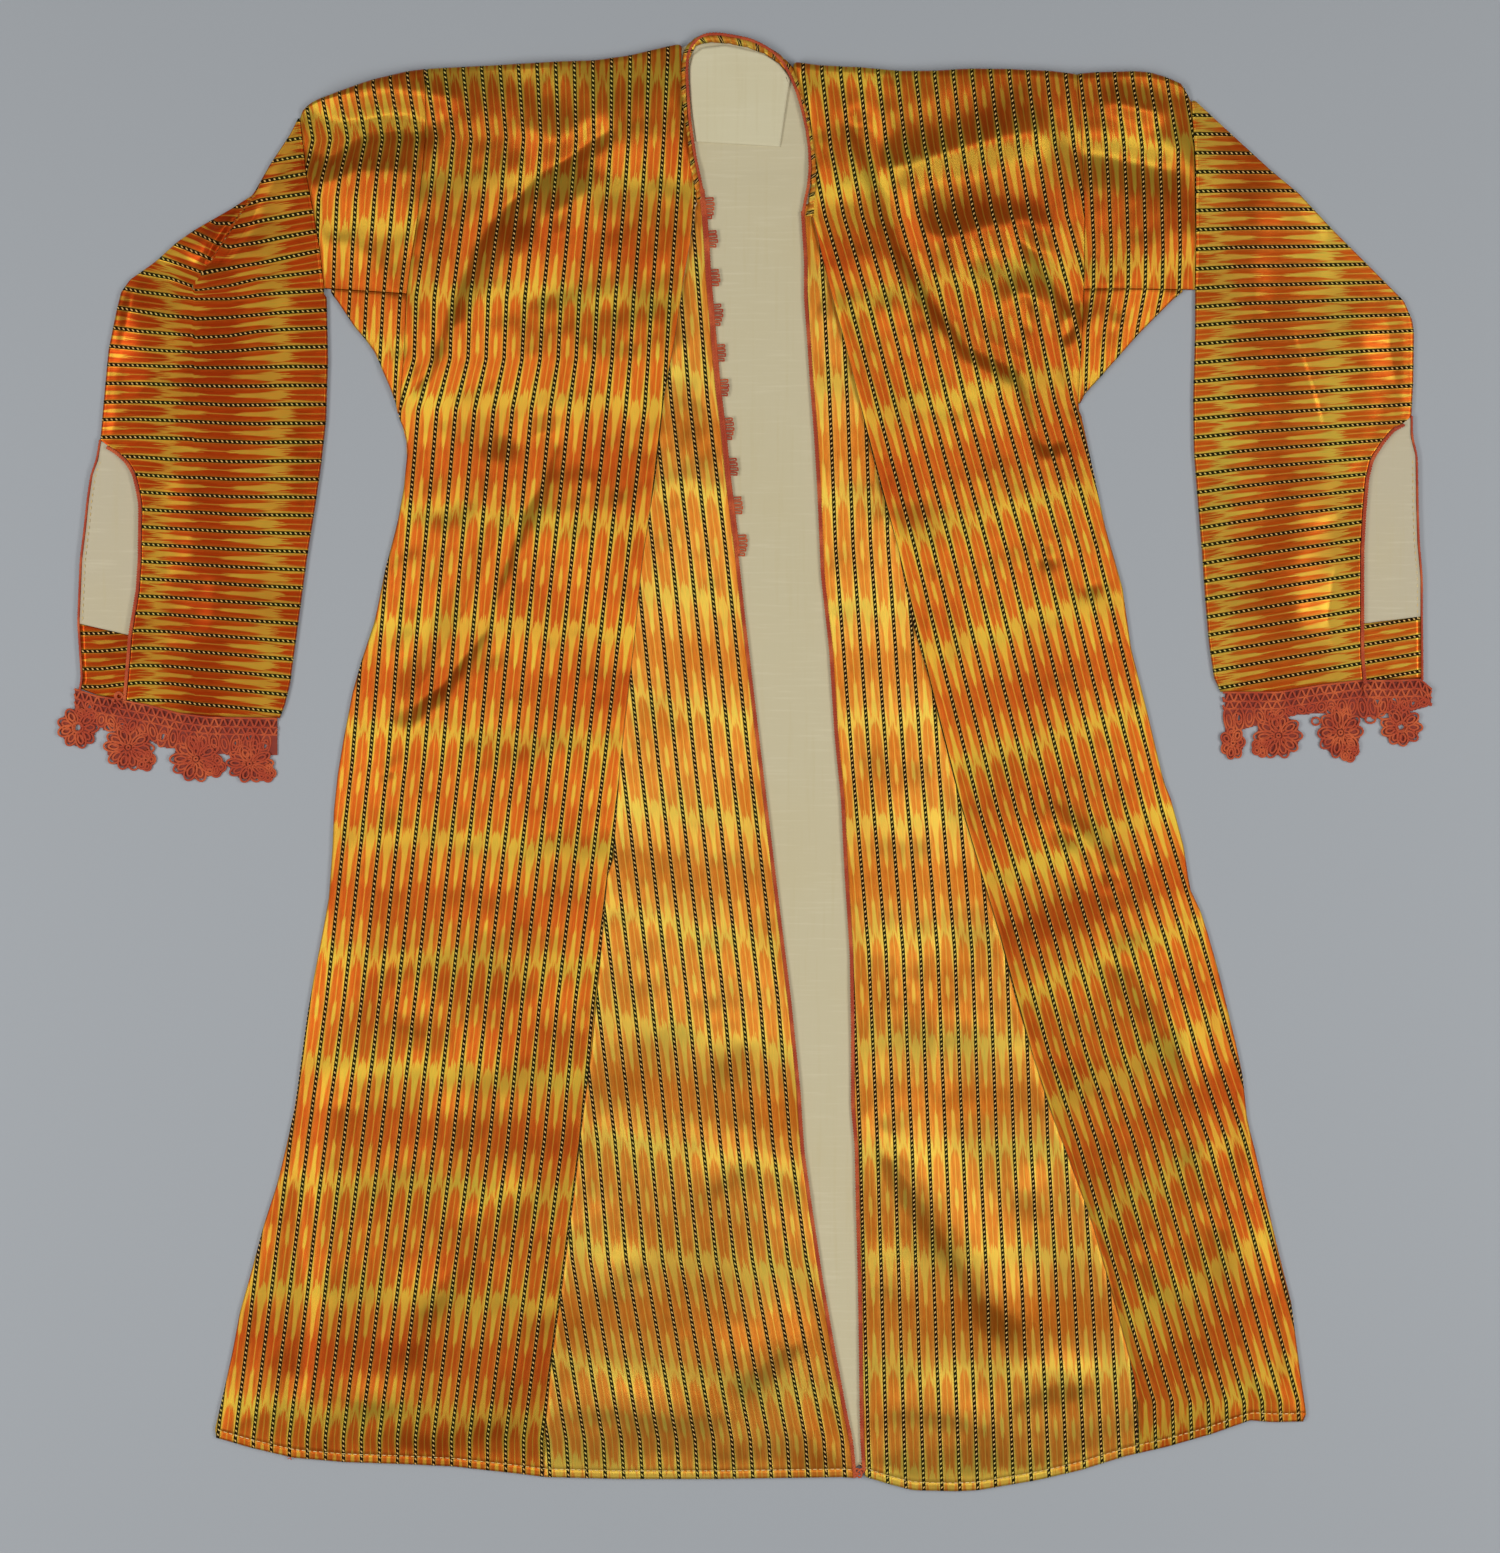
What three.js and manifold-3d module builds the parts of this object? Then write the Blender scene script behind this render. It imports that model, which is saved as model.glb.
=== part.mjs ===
// An ikat coat of silk, lined with cotton, laid out flat on its back with the fronts closed at the hem.
//
// Frame: millimetres, +Z up. X runs across the coat (the wearer's right side is -X), Y runs from the hem
// (-Y) to the collar (+Y). The floor is z = 0 and the origin is under the middle of the laid-out coat.
//
// Every piece is cut and lies as a maker would cut and lay it: each body length is one strip that runs from
// the front hem over the shoulder to the back hem, each sleeve is one strip folded at its inner edge.

import * as THREE from 'three';
import { mergeVertices } from 'three/addons/utils/BufferGeometryUtils.js';
import Module from 'manifold-3d';

const wasm = await Module();
wasm.setup();

// ---------------------------------------------------------------- driving dimensions, mm

const SILK = 1.2; // silk with its turnings
const LINING = 1.0; // cotton lining
const SEAM = 0.3; // air between two pieces that meet
const BRAID_WIDE = 4.0; // crocheted braid on the edges
const BRAID_HIGH = 2.4;
const BINDING_WIDE = 8.0; // bias strip round the neck
const BINDING_HIGH = 2.4;
const LACE = 1.6; // crochet lace on the cuffs
const PUFF = 4.5; // how far the upper layer stands off the lower one
const PUFF_REACH = 46; // how far from an edge it is full
const SEAM_ROLL = 12; // how far from a side seam the upper layer comes down
const LOOP_WIDE = 11.5; // a fan of button loops, out from the braid
const LOOP_TALL = 16;
const SHOULDER_Y = 550; // about where the shoulders lie
const ARMHOLE_TOP = 530;
const UNDERARM_Y = 376;
const HEM_Y = -560; // about where the hem lies

// Heights of the middle of each layer
const BACK_MID = SILK / 2;
const LINING_MID = SILK + SEAM + LINING / 2;
const FRONT_MID = SILK + SEAM + LINING + SEAM + SILK / 2;
const SIDE_MID = SILK + SEAM + SILK / 2; // where the front is sewn to the back
const ON_LINING = SILK + SEAM + LINING + SEAM; // underside of what lies on the lining

// ---------------------------------------------------------------- tables of the cut

const rowsOf = (columns, rows) => rows
  .map((row) => Object.fromEntries(columns.map((name, i) => [name, row[i]])))
  .sort((a, b) => a[columns[0]] - b[columns[0]]);

const across = (rows) => rowsOf(['y', 'x'], rows); // an edge that runs up the coat: x at each y
const along = (rows) => rowsOf(['x', 'y'], rows); // an edge that runs across it: y at each x

// Straight-line reading of a table, held at its ends
function read(table, key, name, at) {
  if (at <= table[0][key]) return table[0][name];
  const last = table[table.length - 1];
  if (at >= last[key]) return last[name];
  const i = table.findIndex((row) => row[key] > at);
  const low = table[i - 1];
  const high = table[i];
  const share = (at - low[key]) / (high[key] - low[key]);
  return low[name] + share * (high[name] - low[name]);
}
const xAt = (table, y) => read(table, 'y', 'x', y);
const yAt = (table, x) => read(table, 'x', 'y', x);

// A fold runs from its start through its middle to its end. high is its height, a trough's is negative,
// and wide is the distance at which it has fallen to about a third.
const FOLD_COLUMNS = ['x0', 'y0', 'xm', 'ym', 'x1', 'y1', 'high', 'wide'];

const RIGHT = {
  sign: -1,
  shoulder: along([[-53, 574], [-62, 572], [-92, 565], [-120, 561], [-150, 560], [-211, 556.5], [-256, 554],
    [-270, 552], [-298, 545], [-326, 536], [-340, 531], [-348, 527], [-354, 521], [-356, 516]]),
  hem: along([[-423, -540], [-412, -543], [-395, -548], [-361, -556], [-320, -559.5], [-275, -561],
    [-233, -563], [-179, -569], [-159, -571.5], [-100, -573], [-22, -573], [78, -571.5], [90, -572.5]]),
  side: across([[276, -277], [264, -272], [250, -270], [220, -273], [192, -278], [154, -288], [114, -296],
    [81, -307], [56, -314], [20, -321], [-10, -326], [-39, -329], [-67, -330], [-108, -333], [-136, -338],
    [-172, -345], [-201, -350], [-238, -355], [-275, -360], [-307, -367], [-336, -374], [-370, -385],
    [-411, -396], [-439, -404], [-471, -410], [-503, -417], [-533, -424], [-540, -423]]),
  shoulderSeam: across([[554, -254.5], [495, -255.5], [436, -261], [405, -266], [374, -270], [325, -272.5],
    [276, -277]]),
  goreSeam: across([[436, -40], [386, -49], [338, -56], [290, -65], [232, -71], [161, -82], [91, -89],
    [32, -96], [-4, -100], [-76, -105], [-91, -110], [-152, -115], [-226, -122], [-287, -130], [-348, -137],
    [-417, -146], [-481, -155], [-525, -159], [-572, -161]]),
  neckSeam: across([[446, -38.5], [460, -40.8], [470, -43.3], [482, -45.8], [498, -48], [514, -50.3],
    [530, -52.5], [542, -53.7], [556, -53.5], [576, -53]]),
  frontEdge: across([[459, -33.5], [437, -31], [418, -29.5], [390, -28], [362, -25.5], [330, -23], [298, -20],
    [266, -16], [226, -12], [194, -8], [161, -4], [114, 1], [67, 6.5], [20, 12], [-113, 28], [-189, 37.5],
    [-263, 45], [-310, 48], [-357, 54.5], [-414, 63], [-471, 73], [-521, 82.5], [-542, 87], [-571, 90]]),
  backNeck: [[-53, 570], [-36, 579], [-16, 580], [-0.2, 577]],
  centreBack: across([[577, -0.2], [-575, 12]]),
  armhole: across([[516, -356], [470, -350.5], [440, -344.5], [409, -339.5], [379, -336.5]]),
  underarm: along([[-336, 379], [-270, 374]]),
  gussetEdge: across([[374, -331], [372, -328], [360, -320], [348, -312], [336, -301.5], [324, -293.5],
    [316, -291], [300, -284], [290, -280], [278, -277.5]]),
  sleeveOuter: across([[518, -356], [502, -364], [478, -380], [454, -393.5], [442, -412], [426, -440],
    [416, -454.5], [400, -472], [386, -492], [376, -499], [362, -502.5], [330, -509], [282, -513.5],
    [258, -515.5]]),
  ventEdge: across([[258, -515.5], [253, -509], [249, -502], [242, -494], [232, -487.5], [218, -484],
    [206, -482], [162, -482.5], [138, -484], [102, -490], [66, -493], [50, -494.5]]),
  sleeveBack: across([[258, -515.5], [242, -518], [230, -522.5], [210, -525.5], [186, -528], [162, -531],
    [112, -533], [66, -530], [58, -532]]),
  sleeveInner: across([[374, -334.5], [322, -333.5], [274, -335], [238, -339], [210, -343], [162, -350.5],
    [110, -357.5], [62, -364], [46, -368], [36, -372]]),
  cuff: along([[-533, 59.5], [-520, 54], [-496, 50], [-476, 46], [-452, 39.5], [-428, 36.5], [-370, 35.5]]),
  facingTop: along([[-533, 111], [-516, 107], [-490, 101], [-440, 96]]),
  folds: rowsOf(FOLD_COLUMNS, [
    [-100, 510, -190, 446, -270, 292, -6, 13],
    [-122, 466, -180, 412, -240, 322, 4, 17],
    [-340, 464, -290, 478, -236, 480, -5, 11],
    [-345, 500, -305, 512, -262, 520, 5, 20],
    [-150, 280, -192, 172, -278, 25, -5, 14],
    [-184, 262, -226, 160, -280, 62, 3, 16],
    [-284, -194, -276, -210, -268, -230, -5, 13],
    [-357, -332, -353, -420, -350, -513, -5, 13],
    [-330, -250, -333, -340, -326, -430, 3, 16],
    [-233, -396, -273, -449, -286, -496, -5, 14],
    [44, -457, 16, -480, 1, -508, -5, 14],
    [12, -221, -17, -238, -42, -263, -4, 13],
    [-100, -540, -50, -545, 4, -540, -3, 12],
    [-394, 452, -414, 418, -432, 392, -6, 12],
    [-408, 458, -434, 424, -454, 402, 3, 14],
  ]),
};

const LEFT = {
  sign: 1,
  shoulder: along([[40, 560], [44, 559], [60, 557], [92, 555.5], [124, 552.5], [152, 552.5], [180, 554],
    [212, 554], [244, 552.5], [264, 550], [280, 551.5], [312, 552.5], [324, 551.5], [336, 548], [348, 543],
    [352, 538], [356, 530]]),
  hem: along([[446, -527], [421, -527.5], [404, -526], [373, -537], [338, -547], [303, -555], [268, -566],
    [233, -574], [186, -582], [170, -582.8], [134, -582], [115, -577], [97, -571.5], [90, -566]]),
  side: across([[284, 266], [278, 269], [236, 278], [189, 288], [140, 302], [91, 309], [44, 321], [-15, 335],
    [-30, 341], [-67, 351], [-101, 356], [-120, 365], [-136, 370], [-164, 378], [-226, 393], [-250, 398],
    [-287, 402], [-310, 408], [-345, 416], [-392, 427], [-432, 437], [-486, 444], [-521, 449],
    [-527, 446.5]]),
  shoulderSeam: across([[550, 265], [493, 269], [436, 271], [407, 271], [378, 270.5], [331, 268.5],
    [284, 266]]),
  goreSeam: across([[436, 54], [378, 68], [334, 80], [294, 90], [232, 105], [172, 122], [114, 133],
    [67, 147], [8, 161.5], [-38, 173.5], [-108, 194.5], [-140, 204], [-182, 214.5], [-231, 229],
    [-275, 243], [-316, 258.5], [-368, 277.5], [-416, 291], [-463, 304], [-493, 311], [-521, 313.5],
    [-553, 313]]),
  neckSeam: across([[440, 54], [452, 56.3], [466, 58.7], [480, 58.7], [492, 57], [506, 54.7], [518, 52.3],
    [529, 49.1], [540, 46], [550, 43], [557, 40.5], [562, 40]]),
  frontEdge: across([[440, 44], [402, 46.5], [370, 46.5], [338, 49], [306, 51], [290, 52.3],
    [260, 54.6], [220, 57], [149, 60], [91, 66.5], [20, 71], [-30, 76], [-91, 79], [-152, 83], [-214, 84],
    [-275, 84], [-307, 87], [-357, 88], [-414, 89.5], [-480, 90.5], [-521, 91], [-542, 91.5], [-566, 93]]),
  backNeck: [[40, 556], [31, 561], [15, 571], [0.2, 577]],
  centreBack: across([[577, 0.2], [-575, 12.4]]),
  armhole: across([[530, 357], [470, 360], [378, 360]]),
  underarm: along([[270, 378], [360, 378]]),
  gussetEdge: across([[376, 350], [374, 346], [360, 332], [344, 316], [326, 300], [308, 284], [292, 269.5],
    [286, 267.5]]),
  sleeveOuter: across([[532, 357], [502, 389.5], [474, 420], [455, 443], [425, 471], [397, 499], [369, 527],
    [354, 533.5], [344, 535], [305, 534.5], [277, 533]]),
  ventEdge: across([[277, 533], [271, 526], [267, 517.5], [257, 509], [243, 500], [227, 496], [198, 493.5],
    [168, 492], [86, 492], [70, 493.5], [63, 494]]),
  sleeveBack: across([[277, 533], [261, 533], [245, 537], [208, 537.5], [176, 538.5], [147, 541],
    [116, 541], [66, 541.5]]),
  sleeveInner: across([[376, 360], [346, 360], [290, 358.5], [249, 359], [204, 362.5], [168, 365.5],
    [131, 368], [96, 371], [68, 375], [55, 381]]),
  cuff: along([[381, 56.5], [426, 56.5], [462, 62.5], [491, 66], [521, 66], [541, 67]]),
  facingTop: along([[450, 106], [496, 111], [541, 116.5]]),
  folds: rowsOf(FOLD_COLUMNS, [
    [82, 524, 135, 390, 232, 296, -6, 13],
    [110, 500, 168, 400, 222, 340, 3, 17],
    [226, 425, 246, 403, 266, 363, -4, 11],
    [118, 480, 175, 497, 230, 511, -4, 11],
    [286, 533, 306, 470, 333, 461, -4, 11],
    [240, 306, 222, 262, 238, 215, -4, 12],
    [270, -60, 284, -80, 298, -99, -4, 12],
    [261, -145, 322, -214, 358, -263, -5, 13],
    [132, -333, 168, -412, 205, -474, -5, 14],
    [158, -320, 196, -398, 236, -452, 3, 16],
    [242, -509, 256, -505, 270, -498, -4, 12],
    [114, 196, 125, 40, 128, -190, -3, 10],
    [439, 352, 455, 300, 474, 258, -4, 12],
    [489, 176, 478, 147, 470, 106, -3, 10],
  ]),
};

// The bias strip round the neck: its middle line, from the right front over the back neck to the left front
const NECK_LINE = [[-36.5, 461], [-39, 470], [-41.5, 482], [-43.7, 498], [-46, 514], [-48.2, 530],
  [-49.4, 542], [-49, 556], [-47, 566], [-43, 573.5], [-36, 577.5], [-28, 578.8], [-16, 578.2], [-4, 576],
  [6, 573.6], [15, 570.5], [23, 566.5], [31, 561], [36.5, 552], [40.5, 542], [44.5, 529], [48, 518],
  [50.4, 506], [52.8, 492.5], [54.4, 479.5], [54.4, 466], [52, 452], [49.8, 441]];

// Where each fan of button loops sits on the right front edge
const LOOP_HEIGHTS = [444, 418, 387, 359, 327, 299, 268, 236, 205, 175];

// The flowers of the cuff lace: middle, half width, half height and the eye cut through it
const FLOWER_COLUMNS = ['x', 'y', 'wide', 'tall', 'petals', 'eye'];
const HOLE_COLUMNS = ['x', 'y', 'wide', 'tall'];
const RIGHT_LACE = {
  flowers: rowsOf(FLOWER_COLUMNS, [[-533.4, 28, 17, 17.5, 9, 3], [-493, 12, 21, 19, 10, 0],
    [-439, 3, 21.5, 19.5, 10, 0], [-396, -1, 20, 15.5, 10, 0]]),
  band: [[-536, 58.4], [-520, 53], [-497, 49], [-476, 45], [-452, 38.5], [-428, 35.5], [-374, 34.6],
    [-373.6, 6], [-400, 4], [-440, 10], [-466, 12], [-480, 20], [-513, 26], [-520, 34], [-538, 36], [-536, 44]],
  holes: rowsOf(HOLE_COLUMNS, [[-524, 46, 2.4, 2.4], [-521, 38, 2.4, 2.1], [-508, 28.4, 3, 2.1],
    [-498, 29, 3.6, 2.3], [-465.6, 20.4, 3.8, 2.3], [-396, 20.4, 2.6, 2.6], [-385.6, 13, 3.6, 2.1],
    [-405.6, 15.6, 2.6, 2.1]]),
};
const LEFT_LACE = {
  flowers: rowsOf(FLOWER_COLUMNS, [[390, 15.5, 10.5, 13.5, 7, 0], [426.4, 21.5, 20.5, 19, 10, 0],
    [476, 24, 19, 22, 10, 0], [524.8, 28.5, 17.5, 16, 9, 3]]),
  band: [[382, 55.6], [426, 55.6], [462, 61.5], [491, 65], [521, 65], [540, 66], [549, 52], [550.4, 46],
    [546, 41], [530, 40], [512, 37], [500, 34], [470, 40], [440, 38], [410, 30], [384, 22]],
  holes: rowsOf(HOLE_COLUMNS, [[533, 46.5, 6.4, 2.3], [512, 37.5, 5, 2.1], [520.5, 49.5, 2.6, 2.8],
    [505.5, 48, 2.4, 2.4], [500, 34.5, 3.2, 2.1], [468, 41.5, 2.6, 2.6], [456.5, 33, 2.4, 2.1],
    [422, 38, 3.2, 2.4], [393.5, 36, 2.6, 2.8]]),
};

const COLOURS = {
  silk: { color: 0xc9732c, roughness: 0.55 },
  gore: { color: 0xc98a35, roughness: 0.55 },
  cotton: { color: 0xcfc39b, roughness: 0.9 },
  crochet: { color: 0xb14a33, roughness: 0.85 },
};

// ---------------------------------------------------------------- small helpers

const lerp = (a, b, share) => a + (b - a) * share;
const smooth = (t) => {
  const s = Math.min(1, Math.max(0, t));
  return s * s * (3 - 2 * s);
};

function distanceToLine(x, y, points) {
  let nearest = Infinity;
  for (let i = 1; i < points.length; i += 1) {
    const [ax, ay] = points[i - 1];
    const [bx, by] = points[i];
    const length = (bx - ax) ** 2 + (by - ay) ** 2;
    const share = Math.min(1, Math.max(0, ((x - ax) * (bx - ax) + (y - ay) * (by - ay)) / length));
    nearest = Math.min(nearest, Math.hypot(x - lerp(ax, bx, share), y - lerp(ay, by, share)));
  }
  return nearest;
}

const points = (table) => table.map((row) => [row.x, row.y]);

// Edges where the upper layer is sewn down to the lower one, and edges where it only lies on it
for (const side of [RIGHT, LEFT]) {
  side.sewn = [points(side.side), points(side.sleeveOuter)];
  side.open = [points(side.frontEdge), points(side.hem), points(side.ventEdge), points(side.cuff),
    points(side.gussetEdge), points(side.sleeveInner)];
  for (const fold of side.folds) {
    const curve = new THREE.QuadraticBezierCurve(
      new THREE.Vector2(fold.x0, fold.y0),
      new THREE.Vector2(2 * fold.xm - (fold.x0 + fold.x1) / 2, 2 * fold.ym - (fold.y0 + fold.y1) / 2),
      new THREE.Vector2(fold.x1, fold.y1),
    );
    fold.line = curve.getPoints(6).map((p) => [p.x, p.y]);
  }
}

// Height of the middle of the upper layer: it comes down at a sewn edge, puffs up away from every edge,
// and carries the folds as smooth ridges and troughs, never lower than where it rests.
function upperMid(side, x, y) {
  const sewn = Math.min(...side.sewn.map((line) => distanceToLine(x, y, line)));
  const open = Math.min(...side.open.map((line) => distanceToLine(x, y, line)));
  const free = smooth(Math.min(sewn, open) / PUFF_REACH);
  let height = PUFF * free;
  for (const fold of side.folds) {
    const away = distanceToLine(x, y, fold.line) / fold.wide;
    height += fold.high * Math.exp(-away * away) * smooth(Math.min(sewn, open) / SEAM_ROLL);
  }
  return lerp(SIDE_MID, FRONT_MID, smooth(sewn / SEAM_ROLL)) + Math.max(0, height);
}

// A wall of cloth over a grid. place(i, j) gives a point of the wall's middle and the way its face looks,
// keep(i, j) says which cells of the grid are cloth.
function clothWall(columns, rows, thickness, place, keep = () => true) {
  const vertices = [];
  for (let j = 0; j < rows; j += 1) {
    for (let i = 0; i < columns; i += 1) {
      const { at, face } = place(i, j);
      const h = thickness / 2;
      vertices.push(at[0] + face[0] * h, at[1] + face[1] * h, at[2] + face[2] * h);
      vertices.push(at[0] - face[0] * h, at[1] - face[1] * h, at[2] - face[2] * h);
    }
  }
  const front = (i, j) => 2 * (j * columns + i);
  const cloth = (i, j) => i >= 0 && j >= 0 && i < columns - 1 && j < rows - 1 && keep(i, j);
  const faces = [];
  const quad = (a, b, c, d) => faces.push(a, b, c, a, c, d);
  for (let j = 0; j < rows - 1; j += 1) {
    for (let i = 0; i < columns - 1; i += 1) {
      if (!cloth(i, j)) continue;
      const [a, b, c, d] = [front(i, j), front(i + 1, j), front(i + 1, j + 1), front(i, j + 1)];
      quad(a, b, c, d);
      quad(a + 1, d + 1, c + 1, b + 1);
      if (!cloth(i, j - 1)) quad(b, a, a + 1, b + 1);
      if (!cloth(i, j + 1)) quad(d, c, c + 1, d + 1);
      if (!cloth(i - 1, j)) quad(a, d, d + 1, a + 1);
      if (!cloth(i + 1, j)) quad(c, b, b + 1, c + 1);
    }
  }
  return facingOut(vertices, faces);
}

// Puts vertices and faces into a geometry whose faces all look outwards
function facingOut(vertices, faces) {
  let volume = 0;
  const p = (k) => new THREE.Vector3().fromArray(vertices, 3 * k);
  for (let k = 0; k < faces.length; k += 3) {
    volume += p(faces[k]).dot(p(faces[k + 1]).cross(p(faces[k + 2])));
  }
  const turned = volume < 0 ? faces.slice().reverse() : faces;
  const geometry = new THREE.BufferGeometry();
  geometry.setAttribute('position', new THREE.Float32BufferAttribute(vertices, 3));
  geometry.setIndex(turned);
  return geometry;
}

const flat = (x, y, z) => ({ at: [x, y, z], face: [0, 0, 1] });

// ---------------------------------------------------------------- booleans

function solidOf(geometry) {
  const bare = geometry.clone();
  bare.deleteAttribute('normal');
  bare.deleteAttribute('uv');
  const merged = mergeVertices(bare, 1e-3);
  const mesh = new wasm.Mesh({
    numProp: 3,
    vertProperties: new Float32Array(merged.attributes.position.array),
    triVerts: new Uint32Array(merged.index.array),
  });
  return new wasm.Manifold(mesh);
}

function geometryOf(solid) {
  const mesh = solid.getMesh();
  const geometry = new THREE.BufferGeometry();
  geometry.setAttribute('position', new THREE.BufferAttribute(new Float32Array(mesh.vertProperties), 3));
  geometry.setIndex(new THREE.BufferAttribute(new Uint32Array(mesh.triVerts), 1));
  return geometry;
}

// ---------------------------------------------------------------- body lengths and shoulder pieces

// The rows of a panel are counted from the hem: these rows meet the places where seams start and end
const LEVEL = { foot: 0, gussetTip: 26, underarm: 30, goreTop: 32, shoulder: 40 };
const EASE = 8; // rows over which a curved hem or shoulder fades into the straight rows

// Height of row j between the stops [row, y] of one edge
function station(stops, j) {
  const rows = rowsOf(['row', 'y'], stops);
  return read(rows, 'row', 'y', j);
}

// The point where the edge y = edgeY(x) crosses the line at this share between two side edges
function settle(share, cut, edgeY, start) {
  let y = start;
  for (let k = 0; k < 6; k += 1) y = edgeY(lerp(cut.inner(y), cut.outer(y), share));
  return y;
}

// Height of row j at a share of the way across: straight rows, eased into the hem and the shoulder
function rowHeight(cut, share, j, footY, topY) {
  const straight = (row) => lerp(station(cut.innerStops, row), station(cut.outerStops, row), share);
  let y = straight(j);
  y += (footY - straight(cut.first)) * Math.max(0, 1 - (j - cut.first) / EASE);
  y += (topY - straight(LEVEL.shoulder)) * Math.max(0, 1 - (LEVEL.shoulder - j) / EASE);
  return y;
}

function foldHeight(side, x) {
  const y = yAt(side.shoulder, x);
  return y - SILK / 2 - (upperMid(side, x, y) - BACK_MID) / 2;
}

// One strip of cloth: up the front, over the shoulder in a round fold, and down the back. inner(y) and
// outer(y) bound the front, foot(x) is where it starts, backPoint gives the points of the back, which
// lies flat on the floor.
function overShoulder(side, cut) {
  const { columns, foldRows, backRows } = cut;
  const frontRows = LEVEL.shoulder - cut.first + 1;
  const place = (i, j) => {
    const share = cut.spread(i / (columns - 1));
    const topY = settle(share, cut, (x) => foldHeight(side, x), SHOULDER_Y);
    if (j < frontRows) {
      const footY = settle(share, cut, cut.foot, cut.footStart);
      const y = rowHeight(cut, share, j + cut.first, footY, topY);
      const x = lerp(cut.inner(y), cut.outer(y), share);
      return flat(x, y, upperMid(side, x, y));
    }
    const x = lerp(cut.inner(topY), cut.outer(topY), share);
    const radius = (upperMid(side, x, topY) - BACK_MID) / 2;
    const middle = BACK_MID + radius;
    if (j < frontRows + foldRows) {
      const turn = (Math.PI * (j - frontRows + 1)) / (foldRows + 1);
      const face = [0, Math.sin(turn), Math.cos(turn)];
      return { at: [x, topY + radius * face[1], middle + radius * face[2]], face };
    }
    const back = j - frontRows - foldRows;
    if (back === 0) return { at: [x, topY, BACK_MID], face: [0, 0, -1] };
    const [bx, by] = cut.backPoint(back, share, topY);
    return { at: [bx, by, BACK_MID], face: [0, 0, -1] };
  };
  return clothWall(columns, frontRows + foldRows + backRows, SILK, place);
}

// The outer edge of a body length: the shoulder seam, the gusset seam below it, then the side seam
function outerEdge(side, y) {
  return xAt(y > side.shoulderSeam[0].y ? side.shoulderSeam : side.side, y);
}

const GORE_TOP = 436;
const NECK_START = 441; // above this the inner edge of the body length follows the neck

// Rows at the inner edge of the body length, which are also those of the gore's seam
function goreStops(side) {
  const hemY = yAt(side.hem, side.goreSeam[0].x);
  return [[LEVEL.foot, hemY], [LEVEL.goreTop, GORE_TOP]];
}

// Rows at the outer edge of the body length, which are also those of the gusset and the shoulder piece
function sideStops(side) {
  return [[LEVEL.foot, side.side[0].y], [LEVEL.gussetTip, side.shoulderSeam[0].y],
    [LEVEL.underarm, yAt(side.underarm, xAt(side.shoulderSeam, UNDERARM_Y))], [LEVEL.goreTop, GORE_TOP],
    [LEVEL.shoulder, foldHeight(side, xAt(side.shoulderSeam, SHOULDER_Y))]];
}

// Rows of the back at the outer edge of the body length, from the shoulder to the tip of the gusset
function backSeamRows(side) {
  const gussetRows = [3, 2, 1].map((k) => station(sideStops(side), LEVEL.gussetTip + k));
  const onBack = side.shoulderSeam.filter((row) => row.y > UNDERARM_Y - 6 && row.y < SHOULDER_Y - 50);
  const above = onBack.map((row) => row.y).reverse();
  return [...above, ...gussetRows, side.shoulderSeam[0].y];
}
const BACK_LONG = 4; // rows from there to the back hem
const HEM_LAP = 5; // the back hem lies this far inside the front hem
const HOLLOW = 5; // how far each row behind the neck drops below the one above
const LAST_COLUMN = 0.945; // the last column but one stands close to the side seam

function bodyLength(side) {
  const half = (side.sign * SEAM) / 2;
  const seamRows = backSeamRows(side);
  const foot = side.shoulderSeam[0].y;
  const inner = (y) => (y > NECK_START ? xAt(side.neckSeam, y) : xAt(side.goreSeam, y) + half);
  const outer = (y) => outerEdge(side, y) - half;
  const neckRows = side.backNeck.length - 1;
  const neckEnd = Math.abs(side.backNeck[0][0]);
  const backPoint = (back, share) => {
    if (back <= neckRows) {
      const [neckX, neckY] = side.backNeck[back];
      if (share === 0) return [neckX, neckY];
      const x = lerp(neckX, outer(SHOULDER_Y), share);
      const edge = Math.abs(x) < neckEnd ? neckY - 3 : yAt(side.shoulder, x) - 8;
      return [x, edge - HOLLOW * back];
    }
    const below = back - neckRows - 1;
    const hemX = lerp(xAt(side.centreBack, HEM_Y), outer(HEM_Y), share);
    const hemShare = (below - seamRows.length + 1) / BACK_LONG;
    const y = seamRows[below] ?? lerp(foot, yAt(side.hem, hemX) + HEM_LAP, hemShare);
    return [lerp(xAt(side.centreBack, y), outer(y) - half, share), y];
  };
  return overShoulder(side, {
    columns: 12,
    first: LEVEL.foot,
    foldRows: 3,
    backRows: neckRows + 1 + seamRows.length + BACK_LONG,
    inner,
    outer,
    innerStops: [...goreStops(side), [LEVEL.shoulder, foldHeight(side, inner(SHOULDER_Y))]],
    outerStops: sideStops(side),
    spread: (s) => (s > 0.9 && s < 0.99 ? LAST_COLUMN : s),
    foot: (x) => yAt(side.hem, x),
    footStart: HEM_Y,
    backPoint,
  });
}

const BACK_ARMHOLE = 470; // first row of the back at the armhole

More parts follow.
